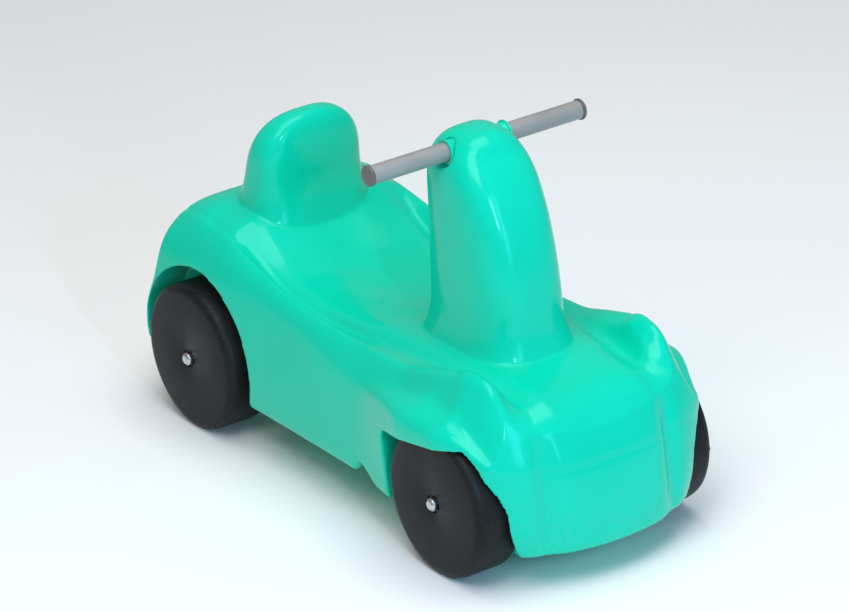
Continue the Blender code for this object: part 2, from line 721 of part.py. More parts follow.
def column_rings(inset=0.0):
    """The column from inside the body up to its round top."""
    foot = PLATFORM_HEIGHT - 0.012
    top = COLUMN_HEIGHT - inset
    straight = top - COLUMN_DOME
    rings = []
    climb = (0, 0.3, 0.65, 1) if inset else (0, 0.06, 0.13, 0.22, 0.40, 0.70, 1)
    crown = (0.45, 0.75, 0.93, 1) if inset else (0.3, 0.55, 0.75, 0.89, 0.97, 1)
    heights = [foot + (straight - foot) * share for share in climb]
    heights += [straight + COLUMN_DOME * share for share in crown]
    front_line = guide(
        [
            (PLATFORM_HEIGHT, COLUMN_FOOT_DEPTH),
            (PLATFORM_HEIGHT + 0.070, COLUMN_FOOT_DEPTH - 0.006),
            (HANDLEBAR_HEIGHT - 0.070, COLUMN_TOP_DEPTH + 0.036),
            (HANDLEBAR_HEIGHT - 0.030, COLUMN_TOP_DEPTH + 0.018),
            (HANDLEBAR_HEIGHT, COLUMN_TOP_DEPTH),
        ]
    )
    for height in heights:
        narrow = dome(max(0.0, (height - straight) / COLUMN_DOME))
        flare = 0.0 if inset else COLUMN_FLARE * max(0.0, 1 - (height - foot) / 0.05) ** 2
        taper = 1 - 0.10 * (height - foot) / (straight - foot)
        half_width = (COLUMN_HALF_WIDTH * taper - inset) * narrow + flare
        depth = front_line(height)
        pull = (1 - narrow) * depth / 2
        front = COLUMN_BACK + depth - inset - pull * 0.7 + flare
        back = COLUMN_BACK + inset + pull * 1.1 - flare
        rings.append(rounded_ring(half_width, front, back, height, 3.0, 16 if inset else 24))
    return rings


def backrest_rings(inset=0.0):
    """The backrest: a thick upright slab with a round top and a flared foot."""
    foot = SEAT_HEIGHT + 0.010
    top = BACKREST_HEIGHT - inset
    dome_height = 0.058
    straight = top - dome_height
    rings = []
    climb = (0, 0.5, 1) if inset else (0, 0.16, 0.34, 0.55, 0.78, 1)
    crown = (0.45, 0.75, 0.93, 1) if inset else (0.3, 0.55, 0.75, 0.89, 0.97, 1)
    heights = [foot + (straight - foot) * share for share in climb]
    heights += [straight + dome_height * share for share in crown]
    for height in heights:
        narrow = dome(max(0.0, (height - straight) / dome_height))
        flare = 0.0 if inset else BACKREST_FLARE * max(0.0, 1 - (height - foot) / 0.078) ** 2
        rise = (height - foot) / (top - foot)
        half_width = (BACKREST_HALF_WIDTH * (1 - BACKREST_TAPER * rise) - inset) * narrow + flare * 0.75
        thin = 0.45 + 0.55 * narrow
        front = BACKREST_FRONT - inset - (1 - thin) * BACKREST_THICKNESS / 3 + flare
        back = BACKREST_FRONT - BACKREST_THICKNESS + inset + BACKREST_LEAN * rise
        back += (1 - thin) * BACKREST_THICKNESS / 2 - flare * 0.3
        rings.append(rounded_ring(half_width, front, back, height, 3.2, 16 if inset else 24))
    return rings


def arch_opening(name, side):
    """Cutter for the opening in the fender, beside the front wheel."""
    centre_y = FRONT_AXLE_Y + FRONT_ARCH_BACK
    centre_z = WHEEL_RADIUS + FRONT_ARCH_UP
    rear_y = FRONT_AXLE_Y + WHEEL_RADIUS + ARCH_REAR_CLEARANCE
    margin = guide([(60, ARCH_MARGIN), (ARCH_END_ANGLE, ARCH_LOWER_MARGIN)])
    bottom = BUMPER_BOTTOM - 0.02
    outline = [
        (rear_y, bottom),
        (rear_y, ARCH_REAR_HEIGHT - ARCH_CORNER),
        (rear_y - ARCH_CORNER * 0.3, ARCH_REAR_HEIGHT - ARCH_CORNER * 0.25),
        (rear_y - ARCH_CORNER * 1.2, ARCH_REAR_HEIGHT),
    ]
    for k in range(ARCH_STEPS + 1):
        angle = ARCH_FRONT_ANGLE + (ARCH_END_ANGLE - ARCH_FRONT_ANGLE) * k / ARCH_STEPS
        radius = FRONT_ARCH_RADIUS + margin(angle)
        across, up = math.sin(math.radians(angle)), math.cos(math.radians(angle))
        outline.append((centre_y - radius * across, centre_z + radius * up))
    outline.append((outline[-1][0], bottom))
    curve = bpy.data.curves.new(name, "CURVE")
    curve.dimensions = "2D"
    curve.fill_mode = "BOTH"
    curve.extrude = 0.04
    spline = curve.splines.new("POLY")
    spline.points.add(len(outline) - 1)
    for point, (y, z) in zip(spline.points, outline):
        point.co = (y, z, 0, 1)
    spline.use_cyclic_u = True
    mesh = baked(add_object(name + "_outline", curve, CUTTERS))
    form = bmesh.new()
    form.from_mesh(mesh)
    bmesh.ops.remove_doubles(form, verts=form.verts, dist=0.00001)
    bmesh.ops.recalc_face_normals(form, faces=form.faces)
    form.to_mesh(mesh)
    form.free()
    cutter = add_cutter(name, mesh)
    cutter.rotation_euler = (math.pi / 2, 0, math.pi / 2)
    cutter.location.x = side * (WHEEL_FACE_X - 0.003)
    return cutter


def place_across(obj, x, y, z, side):
    """Turns a part made about Z so that its top faces the car's left (1) or right (-1)."""
    obj.location = (side * x, y, z)
    obj.rotation_euler = (0, side * math.pi / 2, 0)
    return obj


def front_well(name, side):
    """Cutter for a front wheel's well, narrower towards the skin of the fender."""
    depth = ARCH_LIP_HALF_WIDTH - FENDER_SKIN - WELL_WALL_X
    profile = [
        (0, depth),
        (FRONT_ARCH_RADIUS - 0.015, depth),
        (FRONT_ARCH_RADIUS - 0.0085, depth - 0.0035),
        (FRONT_ARCH_RADIUS - 0.003, depth - 0.010),
        (FRONT_ARCH_RADIUS, depth - 0.0175),
        (FRONT_ARCH_RADIUS, 0),
        (0, 0),
    ]
    well = add_cutter(name, turned(name, profile, WELL_SEGMENTS))
    centre_y = FRONT_AXLE_Y + FRONT_ARCH_BACK
    return place_across(well, WELL_WALL_X, centre_y, WHEEL_RADIUS + FRONT_ARCH_UP, side)


def body_cavity():
    """The hollow inside the body, kept a wall away from the wells and the grooves."""
    inner = hull("cavity", CAVITY_STATIONS, CAVITY_STEPS, BODY_WALL * HULL_WALL_FACTOR)
    cavity = add_cutter("cavity", inner)
    trim = add_cutter("cavity_trim", plan_trim("cavity_trim", BODY_WALL * TRIM_WALL_FACTOR))
    cut(cavity, trim, "INTERSECT")
    centre_y = FRONT_AXLE_Y + FRONT_ARCH_BACK
    centre_z = WHEEL_RADIUS + FRONT_ARCH_UP
    for side, label in ((-1, "right"), (1, "left")):
        near = side * (WELL_WALL_X - BODY_WALL)
        far = side * OUTSIDE_X
        radius = REAR_ARCH_RADIUS + BODY_WALL
        name = f"rear_keep_{label}"
        cut(cavity, cylinder(name, radius, near, far, REAR_AXLE_Y, WHEEL_RADIUS, WELL_SEGMENTS))
        radius = FRONT_ARCH_RADIUS + BODY_WALL
        name = f"front_keep_{label}"
        cut(cavity, cylinder(name, radius, near, far, centre_y, centre_z, WELL_SEGMENTS))
        cut(cavity, groove_form(f"groove_keep_{label}", side, BODY_WALL))
    return cavity


def column_hollow():
    """The hollow inside the column, round the tunnel of the handlebar and the screw's post."""
    hollow = add_cutter("column_hollow", loft("column_hollow", column_rings(BODY_WALL)))
    reach = COLUMN_HALF_WIDTH + 0.01
    tunnel = cylinder("tunnel", TUNNEL_RADIUS, -reach, reach, HANDLEBAR_Y, HANDLEBAR_HEIGHT)
    cut(hollow, tunnel)
    post = cylinder("screw_post", SCREW_POST_RADIUS, -0.03, 0.03, HANDLEBAR_Y + 0.04, HANDLEBAR_HEIGHT)
    post.rotation_euler = (math.pi / 2, 0, 0)
    cut(hollow, post)
    return hollow


def screw_bore(name, radius, near, far):
    """A cutter along Y, between two distances ahead of the rear axle."""
    middle = (near + far) / 2
    half = (far - near) / 2
    y = REAR_AXLE_Y - middle
    bore = cylinder(name, radius, -half, half, y, HANDLEBAR_HEIGHT)
    bore.rotation_euler = (math.pi / 2, 0, 0)
    return bore


def make_body(finish):
    body = add_part("body_shell", hull("body_shell", STATIONS, SECTION_STEPS), finish)
    cut(body, add_cutter("plan_trim", plan_trim("plan_trim")), "INTERSECT")
    cut(body, add_cutter("column_form", loft("column_form", column_rings())), "UNION")
    cut(body, add_cutter("backrest_form", loft("backrest_form", backrest_rings())), "UNION")
    backrest_hollow = add_cutter("backrest_hollow", loft("backrest_hollow", backrest_rings(BODY_WALL)))
    hollows = [body_cavity(), column_hollow(), backrest_hollow]
    for side, label in ((-1, "right"), (1, "left")):
        near = side * WELL_WALL_X
        far = side * OUTSIDE_X
        name = f"rear_well_{label}"
        well = cylinder(name, REAR_ARCH_RADIUS, near, far, REAR_AXLE_Y, WHEEL_RADIUS, WELL_SEGMENTS)
        hollows += [well, front_well(f"front_well_{label}", side)]
        hollows += [arch_opening(f"front_arch_{label}", side), groove_form(f"groove_{label}", side)]
        far = side * (COLUMN_HALF_WIDTH + 0.01)
        near = side * GROMMET_SEAT_X
        name = f"grommet_seat_{label}"
        seat = cylinder(name, GROMMET_SEAT_RADIUS, near, far, HANDLEBAR_Y, HANDLEBAR_HEIGHT)
        near = side * (GROMMET_SEAT_X - GROMMET_BARREL_LENGTH)
        radius = GROMMET_BARREL_RADIUS + FIT_GAP
        name = f"grommet_bore_{label}"
        barrel = cylinder(name, radius, near, far, HANDLEBAR_Y, HANDLEBAR_HEIGHT)
        hollows += [seat, barrel]
    for name, axle_y in (("front_axle_bore", FRONT_AXLE_Y), ("rear_axle_bore", REAR_AXLE_Y)):
        reach = WELL_WALL_X + 0.005
        radius = BUSH_BARREL_RADIUS + FIT_GAP
        hollows.append(cylinder(name, radius, -reach, reach, axle_y, WHEEL_RADIUS))
    bore = HANDLEBAR_RADIUS + FIT_GAP
    reach = GROMMET_SEAT_X
    hollows.append(cylinder("handlebar_bore", bore, -reach, reach, HANDLEBAR_Y, HANDLEBAR_HEIGHT))
    seat = SCREW_HEAD_RADIUS + SCREW_SEAT_CLEARANCE
    hollows.append(screw_bore("screw_seat", seat, COLUMN_BACK - 0.02, SCREW_SEAT_AHEAD))
    hollows.append(screw_bore("screw_bore", SCREW_RADIUS + FIT_GAP, COLUMN_BACK, HANDLEBAR_AHEAD))
    vent = cylinder("vent_hole", VENT_RADIUS + FIT_GAP, -0.02, 0.02, 0, BELLY_HEIGHT)
    vent.rotation_euler = (0, 0, 0)
    hollows.append(vent)
    for hollow in hollows:
        cut(body, hollow)
    return body


def wheel_mesh():
    """An open-backed wheel about Z, its outer face up and its middle at the origin."""
    top = WHEEL_WIDTH / 2
    inner = WHEEL_RADIUS - WHEEL_WALL
    bore = AXLE_RADIUS + WHEEL_BORE_CLEARANCE
    hub_end = HUB_END_X - WHEEL_X
    profile = [(bore, top - CAP_SEAT_DEPTH), (CAP_SEAT_RADIUS, top - CAP_SEAT_DEPTH), (CAP_SEAT_RADIUS, top)]
    for k in range(4):
        angle = math.pi / 2 * k / 3
        radius = WHEEL_RADIUS - WHEEL_SHOULDER * (1 - math.sin(angle))
        profile.append((radius, top - WHEEL_SHOULDER * (1 - math.cos(angle))))
    profile += [
        (WHEEL_RADIUS, -top + WHEEL_EDGE_CHAMFER),
        (WHEEL_RADIUS - WHEEL_EDGE_CHAMFER, -top),
        (inner, -top),
        (inner, top - WHEEL_WALL - WHEEL_INNER_CORNER),
        (inner - WHEEL_INNER_CORNER, top - WHEEL_WALL),
        (HUB_RADIUS, top - WHEEL_WALL),
        (HUB_RADIUS, hub_end),
        (bore, hub_end),
    ]
    disc = add_object("wheel_disc", turned("wheel_disc", profile, WHEEL_SEGMENTS), CUTTERS)
    rib_inner = HUB_RADIUS - WHEEL_RIB_THICKNESS
    rib_outer = inner + WHEEL_WALL / 2
    rib_low = -top + WHEEL_RIB_SETBACK
    rib_high = top - WHEEL_WALL / 2
    ribs = []
    for k in range(WHEEL_RIBS):
        form = bmesh.new()
        bmesh.ops.create_cube(form, size=1.0)
        size = (rib_outer - rib_inner, WHEEL_RIB_THICKNESS, rib_high - rib_low)
        bmesh.ops.scale(form, vec=size, verts=form.verts)
        middle = ((rib_outer + rib_inner) / 2, 0, (rib_high + rib_low) / 2)
        bmesh.ops.translate(form, vec=middle, verts=form.verts)
        mesh = bpy.data.meshes.new(f"wheel_rib_{k}")
        form.to_mesh(mesh)
        form.free()
        rib = add_cutter(mesh.name, mesh)
        rib.rotation_euler.z = 2 * math.pi * (k + 0.5) / WHEEL_RIBS
        cut(disc, rib, "UNION")
        ribs.append(rib)
    mesh = baked(disc)
    for rib in ribs:
        bpy.data.objects.remove(rib, do_unlink=True)
    smooth(mesh)
    return mesh


def ring_mesh(name, outer, inner, thickness):
    """A flat ring about Z that stands on the origin."""
    return turned(name, [(inner, thickness), (outer, thickness), (outer, 0), (inner, 0)])


def cap_mesh(name):
    """A cup that is pushed on the axle's end; its open end stands on the origin."""
    inner = AXLE_RADIUS + FIT_GAP
    floor = CAP_HEIGHT - CAP_WALL
    profile = [
        (0, CAP_HEIGHT),
        (CAP_RADIUS * 0.6, CAP_HEIGHT),
        (CAP_RADIUS, CAP_HEIGHT - CAP_EDGE),
        (CAP_RADIUS, 0),
        (inner, 0),
        (inner, floor),
        (0, floor),
    ]
    return turned(name, profile)


def flanged_mesh(name, bore, barrel, flange, thickness, length):
    """A flanged bush about Z: the flange rises from the origin and the barrel hangs below."""
    profile = [
        (bore, thickness),
        (flange, thickness),
        (flange, 0),
        (barrel, 0),
        (barrel, -length),
        (bore, -length),
    ]
    return turned(name, profile)


def make_running_gear(plastic, steel, rubber):
    """Axles, wheels and the fittings that hold them."""
    wheel = wheel_mesh()
    bore = AXLE_RADIUS + FIT_GAP
    for end, axle_y in (("front", FRONT_AXLE_Y), ("rear", REAR_AXLE_Y)):
        profile = [(0, AXLE_END_X), (AXLE_RADIUS, AXLE_END_X), (AXLE_RADIUS, -AXLE_END_X), (0, -AXLE_END_X)]
        axle = add_part(f"{end}_axle", turned(f"{end}_axle", profile), steel)
        place_across(axle, 0, axle_y, WHEEL_RADIUS, 1)
        for side, label in ((-1, "right"), (1, "left")):
            name = f"wheel_{end}_{label}"
            part = add_part(name, wheel.copy(), rubber)
            place_across(part, WHEEL_X, axle_y, WHEEL_RADIUS, side)
            name = f"axle_cap_{end}_{label}"
            part = add_part(name, cap_mesh(name), steel)
            place_across(part, CAP_X, axle_y, WHEEL_RADIUS, side)
            name = f"washer_{end}_{label}"
            part = add_part(name, ring_mesh(name, WASHER_RADIUS, bore, WASHER_THICKNESS), steel)
            place_across(part, WASHER_X, axle_y, WHEEL_RADIUS, side)
            name = f"axle_bush_{end}_{label}"
            sizes = (bore, BUSH_BARREL_RADIUS, BUSH_FLANGE_RADIUS, BUSH_FLANGE_THICKNESS)
            part = add_part(name, flanged_mesh(name, *sizes, BUSH_BARREL_LENGTH), plastic)
            place_across(part, BUSH_X, axle_y, WHEEL_RADIUS, side)
    bpy.data.meshes.remove(wheel)


def make_steering(paint, plastic, shell_plastic, steel):
    """The fixed handlebar, its end caps and grommets, and the screw that holds it."""
    half = HANDLEBAR_LENGTH / 2
    inner = HANDLEBAR_RADIUS - HANDLEBAR_WALL
    profile = [(inner, half), (HANDLEBAR_RADIUS, half), (HANDLEBAR_RADIUS, -half), (inner, -half)]
    bar = add_part("handlebar", turned("handlebar", profile), paint)
    place_across(bar, 0, HANDLEBAR_Y, HANDLEBAR_HEIGHT, 1)
    hole = screw_bore("handlebar_screw_hole", SCREW_RADIUS + FIT_GAP, SCREW_SEAT_AHEAD, HANDLEBAR_AHEAD)
    cut(bar, hole)
    for side, label in ((-1, "right"), (1, "left")):
        name = f"handlebar_cap_{label}"
        plug = inner - FIT_GAP
        profile = [
            (0, END_CAP_THICKNESS),
            (END_CAP_RADIUS - END_CAP_EDGE, END_CAP_THICKNESS),
            (END_CAP_RADIUS, END_CAP_THICKNESS - END_CAP_EDGE),
            (END_CAP_RADIUS, 0),
            (plug, 0),
            (plug, -END_CAP_PLUG_LENGTH),
            (0, -END_CAP_PLUG_LENGTH),
        ]
        cap = add_part(name, turned(name, profile), plastic)
        place_across(cap, half + FIT_GAP, HANDLEBAR_Y, HANDLEBAR_HEIGHT, side)
        name = f"handlebar_grommet_{label}"
        sizes = (HANDLEBAR_RADIUS + FIT_GAP, GROMMET_BARREL_RADIUS, GROMMET_RADIUS, GROMMET_THICKNESS)
        grommet = add_part(name, flanged_mesh(name, *sizes, GROMMET_BARREL_LENGTH - FIT_GAP * 2), shell_plastic)
        place_across(grommet, GROMMET_X, HANDLEBAR_Y, HANDLEBAR_HEIGHT, side)
    profile = [
        (0, SCREW_HEAD_HEIGHT),
        (SCREW_HEAD_RADIUS * 0.6, SCREW_HEAD_HEIGHT),
        (SCREW_HEAD_RADIUS, SCREW_HEAD_HEIGHT * 0.4),
        (SCREW_HEAD_RADIUS, 0),
        (SCREW_RADIUS, 0),
        (SCREW_RADIUS, SCREW_TIP - SCREW_LENGTH),
        (0, -SCREW_LENGTH),
    ]
    screw = add_part("handlebar_screw", turned("handlebar_screw", profile), steel)
    screw.location = (0, REAR_AXLE_Y - SCREW_SEAT_AHEAD + FIT_GAP, HANDLEBAR_HEIGHT)
    screw.rotation_euler = (-math.pi / 2, 0, 0)
    head_top = SCREW_SEAT_AHEAD - FIT_GAP - SCREW_HEAD_HEIGHT
    socket = screw_bore("screw_socket", SCREW_SOCKET_RADIUS, head_top - 0.002, head_top + SCREW_SOCKET_DEPTH)
    cut(screw, socket)


def make_vent_plug(plastic):
    profile = [
        (0, 0),
        (VENT_RADIUS - PLUG_WALL, 0),
        (VENT_RADIUS - PLUG_WALL, PLUG_BARREL_LENGTH),
        (VENT_RADIUS, PLUG_BARREL_LENGTH),
        (VENT_RADIUS, 0),
        (PLUG_FLANGE_RADIUS, 0),
        (PLUG_FLANGE_RADIUS, -PLUG_FLANGE_THICKNESS),
        (0, -PLUG_FLANGE_THICKNESS),
    ]
    plug = add_part("vent_plug", turned("vent_plug", profile), plastic)
    plug.location = (0, 0, BELLY_HEIGHT - FIT_GAP)


def main():
    clear_scene()
    shell_plastic = material("moulded_teal_plastic", (0.012, 0.62, 0.48), 0.28)
    wheel_plastic = material("dark_grey_wheel_plastic", (0.024, 0.026, 0.028), 0.5)
    bar_paint = material("grey_painted_tube", (0.36, 0.33, 0.33), 0.4)
    dark_plastic = material("dark_grey_fittings", (0.05, 0.05, 0.055), 0.45)
    steel = material("zinc_plated_steel", (0.55, 0.56, 0.57), 0.35, 1.0)
    make_body(shell_plastic)
    make_running_gear(dark_plastic, steel, wheel_plastic)
    make_steering(bar_paint, dark_plastic, shell_plastic, steel)
    make_vent_plug(dark_plastic)


main()
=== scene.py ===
"""Looks of the toddler ride-on car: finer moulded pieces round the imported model, plain studio.

Metres, +Z up. The front faces -Y and the car's right side is at -X. The sizes and the lines that
guide the body repeat the ones in the part's source, apart from the hood and the nose, which are
fuller and smoother here.
"""

import json
import math

import bmesh
import bpy
from mathutils import Matrix, Vector

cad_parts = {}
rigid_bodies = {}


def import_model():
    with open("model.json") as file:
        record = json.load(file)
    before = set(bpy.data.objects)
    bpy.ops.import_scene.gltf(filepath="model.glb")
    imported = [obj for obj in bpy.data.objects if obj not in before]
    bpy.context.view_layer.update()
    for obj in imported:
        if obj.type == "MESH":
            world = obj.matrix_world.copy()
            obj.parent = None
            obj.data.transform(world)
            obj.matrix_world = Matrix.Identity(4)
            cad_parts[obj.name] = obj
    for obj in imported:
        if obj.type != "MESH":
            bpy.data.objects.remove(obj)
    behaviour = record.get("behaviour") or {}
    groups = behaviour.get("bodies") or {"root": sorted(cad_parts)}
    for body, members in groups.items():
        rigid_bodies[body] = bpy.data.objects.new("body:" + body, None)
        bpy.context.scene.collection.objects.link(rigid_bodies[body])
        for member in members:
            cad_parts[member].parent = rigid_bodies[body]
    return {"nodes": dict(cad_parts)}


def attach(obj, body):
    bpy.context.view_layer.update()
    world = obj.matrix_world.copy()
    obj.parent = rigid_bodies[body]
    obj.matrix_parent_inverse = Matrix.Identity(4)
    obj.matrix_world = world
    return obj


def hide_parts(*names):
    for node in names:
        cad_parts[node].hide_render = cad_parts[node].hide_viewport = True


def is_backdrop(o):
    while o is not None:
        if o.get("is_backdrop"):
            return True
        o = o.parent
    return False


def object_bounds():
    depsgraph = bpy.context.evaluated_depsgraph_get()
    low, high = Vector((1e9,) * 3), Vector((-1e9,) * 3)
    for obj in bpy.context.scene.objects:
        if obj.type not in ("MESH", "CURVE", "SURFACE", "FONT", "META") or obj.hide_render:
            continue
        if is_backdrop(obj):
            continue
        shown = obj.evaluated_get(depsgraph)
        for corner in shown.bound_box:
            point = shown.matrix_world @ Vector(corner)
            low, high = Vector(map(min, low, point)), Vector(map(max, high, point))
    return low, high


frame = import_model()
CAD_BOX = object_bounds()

# Overall layout
WHEELBASE = 0.428
FRONT_OVERHANG = 0.1145  # front axle to the lower edge of the nose
REAR_OVERHANG = 0.101  # rear axle to the tail
WHEEL_TRACK = 0.282  # over the outer faces of the wheels
FIT_GAP = 0.0003  # between faces that touch

# Wheels
WHEEL_RADIUS = 0.077
WHEEL_WIDTH = 0.048
WHEEL_SHOULDER = 0.009  # radius of the rounded edge
WHEEL_WALL = 0.0045  # tread and face of the open-backed wheel
WHEEL_RIBS = 6
WHEEL_RIB_THICKNESS = 0.003
WHEEL_RIB_SETBACK = 0.008  # from the open edge of the tread
WHEEL_EDGE_CHAMFER = 0.002
WHEEL_INNER_CORNER = 0.006
HUB_RADIUS = 0.0130
CAP_SEAT_RADIUS = 0.0095  # shallow seat for the axle cap
CAP_SEAT_DEPTH = 0.0015

# Axles and their fittings
AXLE_RADIUS = 0.0040
WHEEL_BORE_CLEARANCE = 0.0004
CAP_RADIUS = 0.0068
CAP_HEIGHT = 0.0065
CAP_WALL = 0.0012
CAP_EDGE = 0.0025  # height of the cap's sloping edge
AXLE_END_GAP = 0.001  # from the axle's end to the inside of its cap
WASHER_RADIUS = 0.0095
WASHER_THICKNESS = 0.0015
BUSH_FLANGE_RADIUS = 0.0125
BUSH_FLANGE_THICKNESS = 0.002
BUSH_BARREL_RADIUS = 0.0070
BUSH_BARREL_LENGTH = 0.009

# Body heights above the ground
BUMPER_BOTTOM = 0.036
SKIRT_BOTTOM = 0.052
TAIL_BOTTOM = 0.062
BELLY_HEIGHT = 0.058
SEAT_HEIGHT = 0.173
SEAT_RIM_RISE = 0.006
PLATFORM_HEIGHT = 0.188  # round the foot of the column
DECK_HEIGHT = 0.226
RAIL_HEIGHT = 0.178  # crest of the side rails, beside the seat
REAR_SHOULDER_HEIGHT = 0.212
FENDER_HEIGHT = 0.210
ARCH_LIP_HEIGHT = 0.148  # where the flared front arches are widest
VALLEY_DROP = 0.006  # channel between the rails and the middle of the body
SKIRT_NOTCH_RISE = 0.011

# Body widths and walls
SHELL_HALF_WIDTH = 0.1305
ARCH_LIP_HALF_WIDTH = 0.1510
RAIL_HALF_WIDTH = 0.1090
FENDER_CREST_HALF_WIDTH = 0.106
SHOULDER_HALF_WIDTH = 0.1245
SEAT_HALF_WIDTH = 0.0725

# Plan of the body, seen from above
TAIL_CORNER = 0.016  # radius at the tail's lower edge
TAIL_TOP_CORNER = 0.034  # and at the deck
TAIL_RAKE = 0.050  # from the tail's lower edge forward to the deck
GROOVE_X = 0.0735  # upright grooves beside the middle of the nose
GROOVE_SPREAD = 0.010
TAIL_HALF_WIDTH = SHELL_HALF_WIDTH + 0.004
PLAN_MARGIN = 0.02  # how far the plan's straight sides stand clear of the tail's
SIDE_START = 0.01  # from the end of the nose's curve to them

# Wheel wells
REAR_ARCH_RADIUS = 0.0935
FRONT_ARCH_RADIUS = 0.083
FRONT_ARCH_BACK = 0.003  # the front well's centre, behind and above the axle
FRONT_ARCH_UP = 0.0015
WELL_DEPTH = 0.0525  # from the wheel's outer face to the inner wall of its well
FENDER_SKIN = 0.0055  # skin outside the front wheel
ARCH_REAR_CLEARANCE = 0.010  # behind the front wheel
ARCH_REAR_HEIGHT = 0.127  # top of the opening at its rear corner
ARCH_CORNER = 0.010
ARCH_FRONT_ANGLE = 35  # degrees ahead of upright where the opening meets its round front
ARCH_END_ANGLE = 90  # and where it turns straight down
ARCH_MARGIN = 0.0018  # by which the opening's round front stands outside the well
ARCH_LOWER_MARGIN = 0.0035  # and at its foremost point

# Backrest
BACKREST_HEIGHT = 0.322
BACKREST_HALF_WIDTH = 0.065
BACKREST_THICKNESS = 0.084
BACKREST_FRONT = 0.044  # its front face, ahead of the rear axle
BACKREST_LEAN = 0.040  # how far its back comes forward towards the top
BACKREST_TAPER = 0.10  # share of its width lost towards the top
BACKREST_FLARE = 0.022
BACKREST_FLARE_HEIGHT = 0.078
BACKREST_DOME = 0.058  # height of its round top
BACKREST_SQUARENESS = 3.2
BACKREST_ROOT = 0.010  # height of its foot above the seat

# Column
COLUMN_HEIGHT = 0.401
COLUMN_HALF_WIDTH = 0.051
COLUMN_BACK = 0.276  # its back face, ahead of the rear axle
COLUMN_FOOT_DEPTH = 0.144
COLUMN_TOP_DEPTH = 0.090
COLUMN_FLARE = 0.012
COLUMN_FLARE_HEIGHT = 0.05
COLUMN_DOME = 0.060  # height of its round top
COLUMN_TAPER = 0.10  # share of its width lost towards the top
COLUMN_SQUARENESS = 3.0
COLUMN_ROOT = 0.012  # depth of its foot inside the body

# Round tops of the column and the backrest
DOME_POWER = 2.6
DOME_END = 0.995  # share of a dome's height where its narrowing stops

# Handlebar
HANDLEBAR_DROP = 0.019  # below the top of the column
HANDLEBAR_AHEAD = 0.3195  # ahead of the rear axle
HANDLEBAR_LENGTH = 0.248
HANDLEBAR_RADIUS = 0.0095
HANDLEBAR_WALL = 0.0015
END_CAP_RADIUS = 0.0108
END_CAP_THICKNESS = 0.004
END_CAP_EDGE = 0.0015
END_CAP_PLUG_LENGTH = 0.014
GROMMET_SEAT_X = 0.034
GROMMET_SEAT_RADIUS = 0.0145
GROMMET_RADIUS = 0.0135
GROMMET_THICKNESS = 0.002
GROMMET_BARREL_RADIUS = 0.0115
GROMMET_BARREL_LENGTH = 0.010

# Screw that holds the handlebar
SCREW_RADIUS = 0.0025
SCREW_HEAD_RADIUS = 0.0048
SCREW_SEAT_AHEAD = 0.290  # seat of its head, ahead of the rear axle
SCREW_SEAT_CLEARANCE = 0.0006

# Vent plug under the body
VENT_RADIUS = 0.008

# Places that follow from the sizes above
LENGTH = FRONT_OVERHANG + WHEELBASE + REAR_OVERHANG
NOSE_Y = -LENGTH / 2
TAIL_Y = LENGTH / 2
FRONT_AXLE_Y = NOSE_Y + FRONT_OVERHANG
REAR_AXLE_Y = TAIL_Y - REAR_OVERHANG
WHEEL_FACE_X = WHEEL_TRACK / 2
WHEEL_X = WHEEL_FACE_X - WHEEL_WIDTH / 2
WELL_WALL_X = WHEEL_FACE_X - WELL_DEPTH
BUSH_X = WELL_WALL_X + FIT_GAP
WASHER_X = BUSH_X + BUSH_FLANGE_THICKNESS + FIT_GAP
HUB_END_X = WASHER_X + WASHER_THICKNESS + FIT_GAP
CAP_X = WHEEL_FACE_X - CAP_SEAT_DEPTH + FIT_GAP
AXLE_END_X = CAP_X + CAP_HEIGHT - CAP_WALL - AXLE_END_GAP
HANDLEBAR_Y = REAR_AXLE_Y - HANDLEBAR_AHEAD
HANDLEBAR_HEIGHT = COLUMN_HEIGHT - HANDLEBAR_DROP
GROMMET_X = GROMMET_SEAT_X + FIT_GAP
OUTSIDE_X = ARCH_LIP_HALF_WIDTH + 0.03  # clear of the body's side
CUT_REACH = 0.02  # by which cutters stand out of what they cut
BORE_REACH = 0.005  # of the axles' bores past the wells' walls
SEAT_REACH = 0.01  # of the grommets' seats past the column
ARCH_CUT_DEPTH = 0.04
ARCH_CUT_INSET = 0.003  # inside the wheel's outer face

# Meshes
SHELL_VOXEL = 0.0014
SHELL_SOFTENING = 9
WHEEL_SEGMENTS = 96
WELL_SEGMENTS = 96
SMALL_SEGMENTS = 48
SECTION_STEPS = 8  # between two points of a section
STATION_STEPS = 4  # between two stations
HEIGHT_STEPS = 3  # between two heights of the plan
NOSE_STEPS = 72
TAIL_STEPS = 12
ARCH_STEPS = 48
RING_STEPS = 96  # round the column and the backrest
CLIMB_STEPS = 24
CROWN_STEPS = 16
CLIMB = tuple(k / CLIMB_STEPS for k in range(CLIMB_STEPS))  # heights of their rings up to the round top
CROWN = tuple(math.sin(math.pi / 2 * k / CROWN_STEPS) for k in range(CROWN_STEPS + 1))  # and over it
WHEEL_SHOULDER_STEPS = 3

# Bevels on the edges of the small pieces
WHEEL_BEVEL = 0.0008
AXLE_BEVEL = 0.0005
CAP_BEVEL = 0.0005
WASHER_BEVEL = 0.0003
BUSH_BEVEL = 0.0004
END_CAP_BEVEL = 0.0006
GROMMET_BEVEL = 0.0005
BEVEL_ANGLE = 40
SHARP_ANGLE = 35  # degrees from which an edge stays sharp
BEVELLED_SHARP_ANGLE = 45

